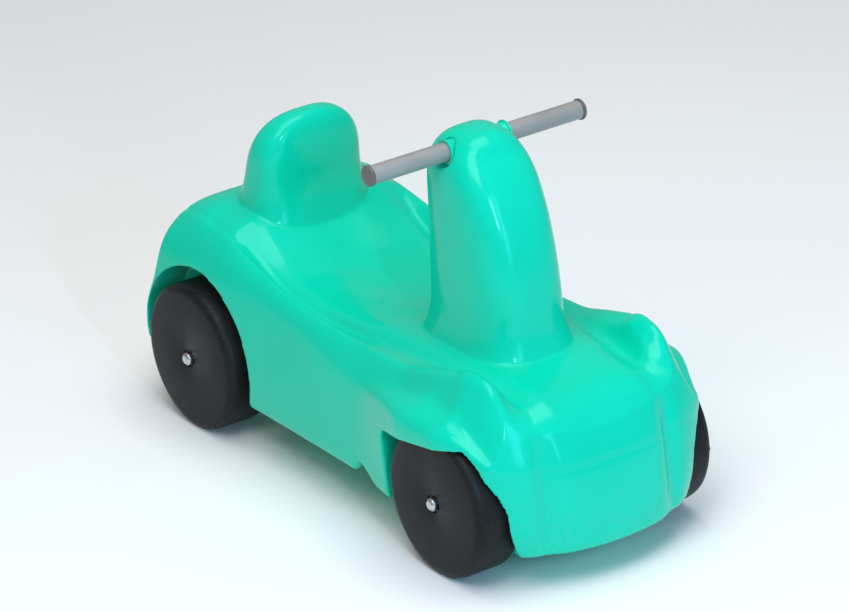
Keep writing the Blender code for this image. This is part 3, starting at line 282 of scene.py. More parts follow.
# Finishes
TEAL = (0.002, 0.62, 0.415)
TEAL_DEEP = (0.002, 0.58, 0.38)
TEAL_SCUFFED = (0.025, 0.66, 0.50)
DUST = (0.30, 0.29, 0.27)
WHEEL_GREY = (0.0085, 0.0090, 0.0095)
WHEEL_GREY_WORN = (0.013, 0.0135, 0.014)
FITTING_GREY = (0.13, 0.13, 0.13)
BAR_GREY = (0.31, 0.30, 0.29)
BAR_GREY_DEEP = (0.27, 0.26, 0.25)
BAR_RUBBED = (0.40, 0.39, 0.38)
ZINC = (0.62, 0.62, 0.63)
ZINC_DEEP = (0.48, 0.48, 0.50)
FLOOR_GREY = (0.93, 0.93, 0.93)

# Studio
FLOOR_RADIUS = 30.0
FLOOR_HEIGHT = -0.0002
SKY_COLOUR = (0.97, 0.99, 1.0)
SKY_STRENGTH = 0.30
AIM = (0.0, 0.0, 0.172)
CAMERA_PLACE = (-3.357, -4.921, 2.923)
CAMERA_LENS = 280.0
PHOTO_AHEAD = (0.5945, 0.604, -0.531)  # the photograph's optical axis
PHOTO_UP = (0.3415, 0.409, 0.847)
LIGHTS = (  # name, direction from the car, distance, width and height, watts, colour
    ("front_panel", (-0.10, -1.0, 0.34), 2.4, (0.4, 1.3), 14.0, (0.16, 0.58, 1.0)),
    ("front_strip", (-0.36, -1.0, 0.45), 2.4, (0.06, 0.45), 11.0, (0.46, 0.82, 1.0)),
    ("key", (-0.95, -0.7, 1.4), 3.0, (1.6, 1.2), 27.0, (0.96, 0.98, 1.0)),
    ("top", (0.0, -0.22, 2.0), 3.0, (2.5, 2.5), 61.0, (1.0, 1.0, 1.0)),
)

CUTTERS = bpy.data.collections.new("cutters")
bpy.context.scene.collection.children.link(CUTTERS)


def add_object(name, data, collection=None):
    """An object in a collection, or in the scene itself."""
    obj = bpy.data.objects.new(name, data)
    (collection or bpy.context.scene.collection).objects.link(obj)
    return obj


def add_cutter(name, mesh):
    obj = add_object(name, mesh, CUTTERS)
    obj.hide_render = True
    obj.display_type = "WIRE"
    return obj


def smooth(mesh, angle=SHARP_ANGLE):
    mesh.shade_smooth()
    mesh.set_sharp_from_angle(angle=math.radians(angle))


def baked(obj):
    """The object's mesh with its modifiers applied; the object itself is removed."""
    graph = bpy.context.evaluated_depsgraph_get()
    mesh = bpy.data.meshes.new_from_object(obj.evaluated_get(graph))
    bpy.data.objects.remove(obj, do_unlink=True)
    return mesh


def guide(points):
    """A smooth function through (place, value) points that doesn't overshoot them."""
    places = [place for place, _ in points]
    values = [value for _, value in points]
    steps = [b - a for a, b in zip(places, places[1:])]
    rises = [(b - a) / step for a, b, step in zip(values, values[1:], steps)]
    slopes = [rises[0]]
    for before, after in zip(rises, rises[1:]):
        same_way = before * after > 0
        slopes.append(2 * before * after / (before + after) if same_way else 0.0)
    slopes.append(rises[-1])

    def value_at(place):
        if place <= places[0]:
            return values[0]
        if place >= places[-1]:
            return values[-1]
        i = max(k for k, start in enumerate(places) if start <= place)
        t = (place - places[i]) / steps[i]
        start_part = values[i] * (1 + 2 * t) + slopes[i] * steps[i] * t
        end_part = values[i + 1] * (3 - 2 * t) - slopes[i + 1] * steps[i] * (1 - t)
        return start_part * (1 - t) ** 2 + end_part * t**2

    return value_at


def dense(values, steps):
    """The values with evenly spaced ones added between them."""
    result = []
    for start, end in zip(values, values[1:]):
        result += [start + (end - start) * k / steps for k in range(steps)]
    return [*result, values[-1]]


def station_y(station):
    """Y of a station: 0 at the tail, 1 and 2 at the axles, 3 at the nose."""
    marks = (TAIL_Y, REAR_AXLE_Y, FRONT_AXLE_Y, NOSE_Y)
    start = min(max(int(station), 0), 2)
    return marks[start] + (station - start) * (marks[start + 1] - marks[start])


def curve_through(points):
    """Points along a Catmull-Rom curve through a half section that ends on the middle plane."""
    start = (points[0][0] * 0.6, points[0][1])
    mirrored_end = (-points[-2][0], points[-2][1])
    run = [start, *points, mirrored_end]
    curve = []
    for a, b, c, d in zip(run, run[1:], run[2:], run[3:]):
        for k in range(SECTION_STEPS):
            t = k / SECTION_STEPS
            weights = (
                (-t + 2 * t**2 - t**3) / 2,
                (2 - 5 * t**2 + 3 * t**3) / 2,
                (t + 4 * t**2 - 3 * t**3) / 2,
                (-(t**2) + t**3) / 2,
            )
            x = sum(w * p[0] for w, p in zip(weights, (a, b, c, d)))
            z = sum(w * p[1] for w, p in zip(weights, (a, b, c, d)))
            curve.append((x, z))
    curve.append(points[-1])
    return curve


def loft(name, rings):
    """A closed mesh through rings of equally many points, capped at both ends."""
    mesh = bpy.data.meshes.new(name)
    form = bmesh.new()
    loops = [[form.verts.new(point) for point in ring] for ring in rings]
    for lower, upper in zip(loops, loops[1:]):
        for i, start in enumerate(lower):
            j = (i + 1) % len(lower)
            form.faces.new((start, lower[j], upper[j], upper[i]))
    form.faces.new(loops[0])
    form.faces.new(loops[-1])
    bmesh.ops.recalc_face_normals(form, faces=form.faces)
    form.to_mesh(mesh)
    form.free()
    smooth(mesh)
    return mesh


def cylinder(name, radius, x0, x1, y, z, segments=SMALL_SEGMENTS):
    """A cylinder along X between two planes."""
    form = bmesh.new()
    bmesh.ops.create_cone(
        form, cap_ends=True, segments=segments, radius1=radius, radius2=radius, depth=abs(x1 - x0)
    )
    mesh = bpy.data.meshes.new(name)
    form.to_mesh(mesh)
    form.free()
    cutter = add_cutter(name, mesh)
    cutter.location = ((x0 + x1) / 2, y, z)
    cutter.rotation_euler = (0, math.pi / 2, 0)
    return cutter


def turned(name, profile, segments=SMALL_SEGMENTS):
    """A ring turned about Z from a closed profile of (radius, height) points.

    The profile runs down its outer side. A point at radius 0 lies on the axis.
    """
    mesh = bpy.data.meshes.new(name)
    form = bmesh.new()
    corners = [form.verts.new((radius, 0, height)) for radius, height in profile]
    closed = all(radius > 0 for radius, _ in profile)
    for start, end in zip(corners, corners[1:] + (corners[:1] if closed else [])):
        form.edges.new((start, end))
    form.to_mesh(mesh)
    form.free()
    obj = add_object(name, mesh, CUTTERS)
    screw = obj.modifiers.new("turn", "SCREW")
    screw.steps = segments
    screw.render_steps = segments
    screw.use_merge_vertices = True
    screw.merge_threshold = 0.00001
    mesh = baked(obj)
    mesh.name = name
    smooth(mesh)
    return mesh


def cut(obj, cutter, operation="DIFFERENCE"):
    boolean = obj.modifiers.new(cutter.name, "BOOLEAN")
    boolean.operation = operation
    boolean.object = cutter
    boolean.solver = "MANIFOLD"  # the exact solver drops these long lofts


# Lines that guide the body's sections, as heights and half widths along the car

centre_height = guide(
    [
        (-0.2, DECK_HEIGHT - 0.046),
        (0.17, DECK_HEIGHT - 0.022),
        (0.45, DECK_HEIGHT - 0.006),
        (0.8, DECK_HEIGHT),
        (1.05, DECK_HEIGHT - 0.002),
        (1.13, DECK_HEIGHT - 0.020),
        (1.20, SEAT_HEIGHT + 0.016),
        (1.28, SEAT_HEIGHT + 0.004),
        (1.39, SEAT_HEIGHT),
        (1.51, SEAT_HEIGHT + 0.003),
        (1.65, PLATFORM_HEIGHT - 0.004),
        (1.80, PLATFORM_HEIGHT),
        (2.00, PLATFORM_HEIGHT + 0.001),
        (2.15, PLATFORM_HEIGHT),
        (2.35, PLATFORM_HEIGHT - 0.002),
        (2.50, PLATFORM_HEIGHT - 0.005),
        (2.62, PLATFORM_HEIGHT - 0.010),
        (2.72, PLATFORM_HEIGHT - 0.019),
        (2.80, PLATFORM_HEIGHT - 0.031),
        (3.2, PLATFORM_HEIGHT - 0.090),
    ]
)
rim_rise = guide(
    [(1.05, 0), (1.28, SEAT_RIM_RISE), (1.51, SEAT_RIM_RISE), (1.7, 0.002), (2.0, 0)]
)
rim_half_width = guide(
    [(1.05, 0.066), (1.28, SEAT_HALF_WIDTH), (1.5, SEAT_HALF_WIDTH), (1.8, 0.061), (2.1, 0.050)]
)
valley_drop = guide(
    [
        (0.8, 0.004),
        (1.05, VALLEY_DROP),
        (1.28, 0.002),
        (1.39, 0.003),
        (1.6, VALLEY_DROP),
        (2.25, VALLEY_DROP + 0.001),
        (2.40, 0.006),
        (2.55, 0.005),
        (2.75, 0.006),
    ]
)
valley_half_width = guide(
    [(0.8, 0.090), (1.28, 0.093), (1.6, 0.089), (1.8, 0.082), (2.0, 0.077), (2.3, 0.074), (2.6, 0.070)]
)
crest_height = guide(
    [
        (-0.2, REAR_SHOULDER_HEIGHT - 0.044),
        (0.17, REAR_SHOULDER_HEIGHT - 0.020),
        (0.45, REAR_SHOULDER_HEIGHT - 0.005),
        (0.8, REAR_SHOULDER_HEIGHT),
        (1.05, REAR_SHOULDER_HEIGHT - 0.004),
        (1.39, RAIL_HEIGHT + 0.006),
        (1.6, RAIL_HEIGHT),
        (1.78, RAIL_HEIGHT + 0.003),
        (1.91, FENDER_HEIGHT - 0.015),
        (2.02, FENDER_HEIGHT - 0.004),
        (2.14, FENDER_HEIGHT),
        (2.32, FENDER_HEIGHT - 0.002),
        (2.42, FENDER_HEIGHT - 0.007),
        (2.50, FENDER_HEIGHT - 0.017),
        (2.58, FENDER_HEIGHT - 0.030),
        (2.66, FENDER_HEIGHT - 0.040),
        (2.78, FENDER_HEIGHT - 0.050),
        (2.95, FENDER_HEIGHT - 0.064),
        (3.2, FENDER_HEIGHT - 0.085),
    ]
)
crest_half_width = guide(
    [
        (0, 0.103),
        (1.05, RAIL_HALF_WIDTH),
        (1.8, RAIL_HALF_WIDTH),
        (2.14, FENDER_CREST_HALF_WIDTH),
        (2.5, FENDER_CREST_HALF_WIDTH - 0.004),
    ]
)
crest_fullness = guide([(1.7, 0.5), (2.05, 0.84), (2.3, 0.76), (2.5, 0.50)])  # roundness of its inner side
shoulder_height = guide(
    [
        (-0.2, REAR_SHOULDER_HEIGHT - 0.060),
        (0.45, REAR_SHOULDER_HEIGHT - 0.026),
        (1.05, REAR_SHOULDER_HEIGHT - 0.024),
        (1.39, RAIL_HEIGHT - 0.010),
        (1.6, RAIL_HEIGHT - 0.018),
        (1.8, RAIL_HEIGHT - 0.012),
        (1.95, FENDER_HEIGHT - 0.034),
        (2.14, FENDER_HEIGHT - 0.033),
        (2.26, FENDER_HEIGHT - 0.038),
        (2.37, FENDER_HEIGHT - 0.045),
        (2.43, FENDER_HEIGHT - 0.050),
        (2.51, FENDER_HEIGHT - 0.057),
        (2.68, FENDER_HEIGHT - 0.069),
        (2.83, FENDER_HEIGHT - 0.078),
        (3.2, FENDER_HEIGHT - 0.105),
    ]
)
shoulder_half_width = guide(
    [(0, 0.123), (1.5, 0.1205), (1.8, 0.1205), (2.14, SHOULDER_HALF_WIDTH), (2.6, 0.120)]
)
flank_height = guide(
    [
        (0, 0.150),
        (1.05, 0.148),
        (1.4, 0.128),
        (1.7, ARCH_LIP_HEIGHT - 0.012),
        (1.85, ARCH_LIP_HEIGHT),
        (2.20, ARCH_LIP_HEIGHT - 0.001),
        (2.33, ARCH_LIP_HEIGHT - 0.004),
        (2.43, ARCH_LIP_HEIGHT - 0.009),
        (2.60, ARCH_LIP_HEIGHT - 0.018),
        (2.76, ARCH_LIP_HEIGHT - 0.028),
        (3.2, ARCH_LIP_HEIGHT - 0.055),
    ]
)
flank_half_width = guide(
    [
        (0, SHELL_HALF_WIDTH),
        (1.05, SHELL_HALF_WIDTH),
        (1.4, SHELL_HALF_WIDTH - 0.004),
        (1.65, SHELL_HALF_WIDTH - 0.002),
        (1.81, ARCH_LIP_HALF_WIDTH - 0.009),
        (1.91, ARCH_LIP_HALF_WIDTH),
        (2.10, ARCH_LIP_HALF_WIDTH),
        (2.20, ARCH_LIP_HALF_WIDTH - 0.003),
        (2.32, ARCH_LIP_HALF_WIDTH - 0.0085),
        (2.43, ARCH_LIP_HALF_WIDTH - 0.014),
        (2.60, ARCH_LIP_HALF_WIDTH - 0.021),
        (2.80, ARCH_LIP_HALF_WIDTH - 0.024),
    ]
)
skirt_half_width = guide(
    [
        (0, SHELL_HALF_WIDTH - 0.002),
        (1.05, SHELL_HALF_WIDTH),
        (1.65, SHELL_HALF_WIDTH + 0.001),
        (1.85, SHELL_HALF_WIDTH + 0.005),
        (2.2, SHELL_HALF_WIDTH + 0.002),
        (2.6, SHELL_HALF_WIDTH - 0.004),
    ]
)
skirt_height = guide(
    [
        (0, TAIL_BOTTOM),
        (1.05, SKIRT_BOTTOM - 0.001),
        (1.3, SKIRT_BOTTOM),
        (1.645, SKIRT_BOTTOM),
        (1.67, SKIRT_BOTTOM + SKIRT_NOTCH_RISE),
        (1.70, SKIRT_BOTTOM + SKIRT_NOTCH_RISE / 2),
        (1.74, SKIRT_BOTTOM - 0.003),
        (1.85, SKIRT_BOTTOM - 0.006),
        (2.2, BUMPER_BOTTOM + 0.007),
        (2.6, BUMPER_BOTTOM),
    ]
)
belly_height = guide(
    [(0, TAIL_BOTTOM + 0.003), (0.8, BELLY_HEIGHT), (1.85, BELLY_HEIGHT), (2.5, BUMPER_BOTTOM + 0.001)]
)

STATIONS = (
    *(-0.2, 0.17, 0.45, 0.8, 1.05, 1.13, 1.20, 1.28, 1.39, 1.55, 1.645),
    *(1.67, 1.70, 1.74, 1.80, 1.87, 1.94, 2.02, 2.13, 2.24),
    *(2.32, 2.37, 2.42, 2.47, 2.54, 2.62, 2.72, 3.2),
)
SKIRT_INNER_SHARE = 0.94
BELLY_SHARE = 0.86
SKIRT_EDGE_HEIGHT = 0.010


def hull_section(station):
    """The body's outline across the car at a station, as a closed ring of (x, z)."""
    middle = centre_height(station)
    skirt_x = skirt_half_width(station)
    skirt_z = skirt_height(station)
    crest_x = crest_half_width(station)
    crest_z = crest_height(station)
    valley_x = valley_half_width(station)
    valley_z = middle - valley_drop(station)
    share = crest_fullness(station)
    half = curve_through(
        [
            (skirt_x * BELLY_SHARE, belly_height(station)),
            (skirt_x * SKIRT_INNER_SHARE, skirt_z),
            (skirt_x, skirt_z + SKIRT_EDGE_HEIGHT),
            (flank_half_width(station), flank_height(station)),
            (shoulder_half_width(station), shoulder_height(station)),
            (crest_x, crest_z),
            (crest_x - (crest_x - valley_x) * 0.5, valley_z + (crest_z - valley_z) * share),
            (valley_x, valley_z),
            (rim_half_width(station), middle + rim_rise(station)),
            (0, middle),
        ]
    )
    return half + [(-x, z) for x, z in half[-2::-1]]


def hull_rings():
    """The body's sections from behind the tail to ahead of the nose."""
    rings = []
    for station in dense(STATIONS, STATION_STEPS):
        rings.append([(x, station_y(station), z) for x, z in hull_section(station)])
    return rings


nose_reach = guide(
    [
        (BUMPER_BOTTOM - 0.010, -0.006),
        (BUMPER_BOTTOM, -0.0025),
        (BUMPER_BOTTOM + 0.008, 0),
        (0.062, -0.001),
        (0.088, -0.0045),
        (0.108, -0.0078),
        (0.116, -0.0092),
        (0.121, -0.0108),
        (0.127, -0.0115),
        (0.138, -0.0148),
        (0.150, -0.0190),
        (0.164, -0.0245),
        (0.184, -0.0360),
        (0.210, -0.0520),
    ]
)
nose_half_width = guide(
    [(0.036, 0.117), (0.044, 0.121), (0.060, 0.128), (0.090, 0.137), (0.120, 0.143), (0.136, 0.152)]
)
nose_depth = guide([(0.044, 0.064), (0.088, 0.068), (0.120, 0.072), (0.136, 0.084)])
nose_squareness = guide([(0.044, 2.0), (0.088, 2.2), (0.136, 2.5)])
groove_depth = guide([(0.040, 0.003), (0.070, 0.0065), (0.130, 0.0065), (0.172, 0.0)])
tail_reach = guide(
    [
        (TAIL_BOTTOM - 0.01, -0.007),
        (TAIL_BOTTOM + 0.006, -0.001),
        (TAIL_BOTTOM + 0.030, 0),
        (DECK_HEIGHT - 0.085, -0.016),
        (DECK_HEIGHT - 0.050, -TAIL_RAKE * 0.55),
        (DECK_HEIGHT, -TAIL_RAKE),
    ]
)
tail_corner = guide([(TAIL_BOTTOM, TAIL_CORNER), (DECK_HEIGHT, TAIL_TOP_CORNER)])
PLAN_HEIGHTS = (
    *(0.02, 0.036, 0.044, 0.052, 0.060, 0.0685, 0.077, 0.088, 0.099, 0.110, 0.114, 0.118, 0.122, 0.126),
    *(0.130, 0.138, 0.150, 0.164, 0.175, 0.184, 0.210, 0.240),
)


def rounded_back(x, half_width, depth, squareness):
    """How far a superellipse's front has curved back at a distance from its middle."""
    share = min(abs(x) / half_width, 1.0)
    return depth * (1 - (1 - share**squareness) ** (1 / squareness))


def plan_ring(height):
    """The body's outline seen from above at a height, with shallow upright grooves in the nose."""
    front_y = NOSE_Y - nose_reach(height)
    half_width = nose_half_width(height)
    depth = nose_depth(height)
    quarter = []
    for k in range(NOSE_STEPS + 1):
        x = half_width * math.sin(math.pi / 2 * k / NOSE_STEPS)
        y = front_y + rounded_back(x, half_width, depth, nose_squareness(height))
        y += groove_depth(height) * math.exp(-(((x - GROOVE_X) / GROOVE_SPREAD) ** 2))
        quarter.append((x, y))
    quarter.append((TAIL_HALF_WIDTH + PLAN_MARGIN, front_y + depth + SIDE_START))
    tail_y = TAIL_Y + tail_reach(height)
    corner = tail_corner(height)
    for k in range(TAIL_STEPS + 1):
        angle = math.pi / 2 * k / TAIL_STEPS
        x = TAIL_HALF_WIDTH - corner * (1 - math.cos(angle))
        quarter.append((x, tail_y - corner * (1 - math.sin(angle))))
    outline = quarter + [(-x, y) for x, y in reversed(quarter[1:])]
    return [(x, y, height) for x, y in outline]


def rounded_ring(half_width, front, back, height, squareness):
    """A superellipse in plan, between two distances ahead of the rear axle."""
    middle = (front + back) / 2
    half_depth = (front - back) / 2
    ring = []
    for k in range(RING_STEPS):
        angle = 2 * math.pi * (k + 0.5) / RING_STEPS
        x = half_width * math.copysign(abs(math.cos(angle)) ** (2 / squareness), math.cos(angle))
        ahead = half_depth * math.copysign(abs(math.sin(angle)) ** (2 / squareness), math.sin(angle))
        ring.append((x, REAR_AXLE_Y - middle - ahead, height))
    return ring


def dome(share):
    """How much of its width a round-topped form keeps at a share of its dome's height."""
    return max(1 - min(share, DOME_END) ** DOME_POWER, 0.0) ** (1 / DOME_POWER)


def column_rings():
    """The column from inside the body up to its round top."""
    foot = PLATFORM_HEIGHT - COLUMN_ROOT
    straight = COLUMN_HEIGHT - COLUMN_DOME
    rings = []
    heights = [foot + (straight - foot) * share for share in CLIMB]
    heights += [straight + COLUMN_DOME * share for share in CROWN]
    front_line = guide(
        [
            (PLATFORM_HEIGHT, COLUMN_FOOT_DEPTH),
            (PLATFORM_HEIGHT + 0.070, COLUMN_FOOT_DEPTH - 0.006),
            (HANDLEBAR_HEIGHT - 0.070, COLUMN_TOP_DEPTH + 0.036),
            (HANDLEBAR_HEIGHT - 0.030, COLUMN_TOP_DEPTH + 0.018),
            (HANDLEBAR_HEIGHT, COLUMN_TOP_DEPTH),
        ]
    )
    for height in heights:
        narrow = dome(max(0.0, (height - straight) / COLUMN_DOME))
        flare = COLUMN_FLARE * max(0.0, 1 - (height - foot) / COLUMN_FLARE_HEIGHT) ** 2
        taper = 1 - COLUMN_TAPER * (height - foot) / (straight - foot)
        half_width = COLUMN_HALF_WIDTH * taper * narrow + flare
        depth = front_line(height)
        pull = (1 - narrow) * depth / 2
        front = COLUMN_BACK + depth - pull * 0.7 + flare
        back = COLUMN_BACK + pull * 1.1 - flare
        rings.append(rounded_ring(half_width, front, back, height, COLUMN_SQUARENESS))
    return rings


def backrest_rings():
    """The backrest: a thick upright slab with a round top and a flared foot."""
    foot = SEAT_HEIGHT + BACKREST_ROOT
    straight = BACKREST_HEIGHT - BACKREST_DOME
    rings = []
    heights = [foot + (straight - foot) * share for share in CLIMB]
    heights += [straight + BACKREST_DOME * share for share in CROWN]
    for height in heights:
        narrow = dome(max(0.0, (height - straight) / BACKREST_DOME))
        flare = BACKREST_FLARE * max(0.0, 1 - (height - foot) / BACKREST_FLARE_HEIGHT) ** 2
        rise = (height - foot) / (BACKREST_HEIGHT - foot)
        half_width = BACKREST_HALF_WIDTH * (1 - BACKREST_TAPER * rise) * narrow + flare * 0.75
        thin = 0.45 + 0.55 * narrow
        front = BACKREST_FRONT - (1 - thin) * BACKREST_THICKNESS / 3 + flare
        back = BACKREST_FRONT - BACKREST_THICKNESS + BACKREST_LEAN * rise
        back += (1 - thin) * BACKREST_THICKNESS / 2 - flare * 0.3
        rings.append(rounded_ring(half_width, front, back, height, BACKREST_SQUARENESS))
    return rings


def arch_opening(name, side):
    """Cutter for the opening in the fender, beside the front wheel."""
    centre_y = FRONT_AXLE_Y + FRONT_ARCH_BACK
    centre_z = WHEEL_RADIUS + FRONT_ARCH_UP
    rear_y = FRONT_AXLE_Y + WHEEL_RADIUS + ARCH_REAR_CLEARANCE
    margin = guide([(60, ARCH_MARGIN), (ARCH_END_ANGLE, ARCH_LOWER_MARGIN)])
    bottom = BUMPER_BOTTOM - CUT_REACH
    outline = [
        (rear_y, bottom),
        (rear_y, ARCH_REAR_HEIGHT - ARCH_CORNER),
        (rear_y - ARCH_CORNER * 0.3, ARCH_REAR_HEIGHT - ARCH_CORNER * 0.25),
        (rear_y - ARCH_CORNER * 1.2, ARCH_REAR_HEIGHT),
    ]
    for k in range(ARCH_STEPS + 1):
        angle = ARCH_FRONT_ANGLE + (ARCH_END_ANGLE - ARCH_FRONT_ANGLE) * k / ARCH_STEPS
        radius = FRONT_ARCH_RADIUS + margin(angle)
        across, up = math.sin(math.radians(angle)), math.cos(math.radians(angle))
        outline.append((centre_y - radius * across, centre_z + radius * up))
    outline.append((outline[-1][0], bottom))
    curve = bpy.data.curves.new(name, "CURVE")
    curve.dimensions = "2D"
    curve.fill_mode = "BOTH"
    curve.extrude = ARCH_CUT_DEPTH
    spline = curve.splines.new("POLY")
    spline.points.add(len(outline) - 1)
    for point, (y, z) in zip(spline.points, outline):
        point.co = (y, z, 0, 1)
    spline.use_cyclic_u = True
    mesh = baked(add_object(name + "_outline", curve, CUTTERS))
    form = bmesh.new()
    form.from_mesh(mesh)
    bmesh.ops.remove_doubles(form, verts=form.verts, dist=0.00001)
    bmesh.ops.recalc_face_normals(form, faces=form.faces)
    form.to_mesh(mesh)
    form.free()
    cutter = add_cutter(name, mesh)
    cutter.rotation_euler = (math.pi / 2, 0, math.pi / 2)
    cutter.location.x = side * (WHEEL_FACE_X - ARCH_CUT_INSET)
    return cutter


def place_across(obj, x, y, z, side):
    """Turns a part made about Z so that its top faces the car's left (1) or right (-1)."""
    obj.location = (side * x, y, z)
    obj.rotation_euler = (0, side * math.pi / 2, 0)
    return obj


def front_well(name, side):
    """Cutter for a front wheel's well, narrower towards the skin of the fender."""
    depth = ARCH_LIP_HALF_WIDTH - FENDER_SKIN - WELL_WALL_X
    profile = [
        (0, depth),
        (FRONT_ARCH_RADIUS - 0.015, depth),
        (FRONT_ARCH_RADIUS - 0.0085, depth - 0.0035),
        (FRONT_ARCH_RADIUS - 0.003, depth - 0.010),
        (FRONT_ARCH_RADIUS, depth - 0.0175),
        (FRONT_ARCH_RADIUS, 0),
        (0, 0),
    ]
    well = add_cutter(name, turned(name, profile, WELL_SEGMENTS))
    centre_y = FRONT_AXLE_Y + FRONT_ARCH_BACK
    return place_across(well, WELL_WALL_X, centre_y, WHEEL_RADIUS + FRONT_ARCH_UP, side)


def screw_bore(name, radius, near, far):
    """A cutter along Y, between two distances ahead of the rear axle."""
    middle = (near + far) / 2
    half = (far - near) / 2
    y = REAR_AXLE_Y - middle
    bore = cylinder(name, radius, -half, half, y, HANDLEBAR_HEIGHT)
    bore.rotation_euler = (math.pi / 2, 0, 0)
    return bore


def wheel_mesh():
    """An open-backed wheel about Z, its outer face up and its middle at the origin."""
    top = WHEEL_WIDTH / 2
    inner = WHEEL_RADIUS - WHEEL_WALL
    bore = AXLE_RADIUS + WHEEL_BORE_CLEARANCE
    hub_end = HUB_END_X - WHEEL_X
    profile = [(bore, top - CAP_SEAT_DEPTH), (CAP_SEAT_RADIUS, top - CAP_SEAT_DEPTH), (CAP_SEAT_RADIUS, top)]
    for k in range(WHEEL_SHOULDER_STEPS + 1):
        angle = math.pi / 2 * k / WHEEL_SHOULDER_STEPS
        radius = WHEEL_RADIUS - WHEEL_SHOULDER * (1 - math.sin(angle))
        profile.append((radius, top - WHEEL_SHOULDER * (1 - math.cos(angle))))
    profile += [
        (WHEEL_RADIUS, -top + WHEEL_EDGE_CHAMFER),
        (WHEEL_RADIUS - WHEEL_EDGE_CHAMFER, -top),
        (inner, -top),
        (inner, top - WHEEL_WALL - WHEEL_INNER_CORNER),
        (inner - WHEEL_INNER_CORNER, top - WHEEL_WALL),
        (HUB_RADIUS, top - WHEEL_WALL),
        (HUB_RADIUS, hub_end),
        (bore, hub_end),
    ]
    disc = add_object("wheel_disc", turned("wheel_disc", profile, WHEEL_SEGMENTS), CUTTERS)
    rib_inner = HUB_RADIUS - WHEEL_RIB_THICKNESS
    rib_outer = inner + WHEEL_WALL / 2
    rib_low = -top + WHEEL_RIB_SETBACK
    rib_high = top - WHEEL_WALL / 2
    ribs = []
    for k in range(WHEEL_RIBS):
        form = bmesh.new()
        bmesh.ops.create_cube(form, size=1.0)
        size = (rib_outer - rib_inner, WHEEL_RIB_THICKNESS, rib_high - rib_low)
        bmesh.ops.scale(form, vec=size, verts=form.verts)
        middle = ((rib_outer + rib_inner) / 2, 0, (rib_high + rib_low) / 2)
        bmesh.ops.translate(form, vec=middle, verts=form.verts)
        mesh = bpy.data.meshes.new(f"wheel_rib_{k}")
        form.to_mesh(mesh)
        form.free()
        rib = add_cutter(mesh.name, mesh)
        rib.rotation_euler.z = 2 * math.pi * (k + 0.5) / WHEEL_RIBS
        cut(disc, rib, "UNION")
        ribs.append(rib)
    mesh = baked(disc)
    for rib in ribs:
        bpy.data.objects.remove(rib, do_unlink=True)
    smooth(mesh)
    return mesh


def ring_mesh(name, outer, inner, thickness):
    """A flat ring about Z that stands on the origin."""
    return turned(name, [(inner, thickness), (outer, thickness), (outer, 0), (inner, 0)])


def cap_mesh(name):
    """A cup that is pushed on the axle's end; its open end stands on the origin."""
    inner = AXLE_RADIUS + FIT_GAP
    roof = CAP_HEIGHT - CAP_WALL
    profile = [
        (0, CAP_HEIGHT),
        (CAP_RADIUS * 0.6, CAP_HEIGHT),
        (CAP_RADIUS, CAP_HEIGHT - CAP_EDGE),
        (CAP_RADIUS, 0),
        (inner, 0),
        (inner, roof),
        (0, roof),
    ]
    return turned(name, profile)


def flanged_mesh(name, bore, barrel, flange, thickness, length):
    """A flanged bush about Z: the flange rises from the origin and the barrel hangs below."""
    profile = [
        (bore, thickness),
        (flange, thickness),
        (flange, 0),
        (barrel, 0),
        (barrel, -length),
        (bore, -length),
    ]
    return turned(name, profile)


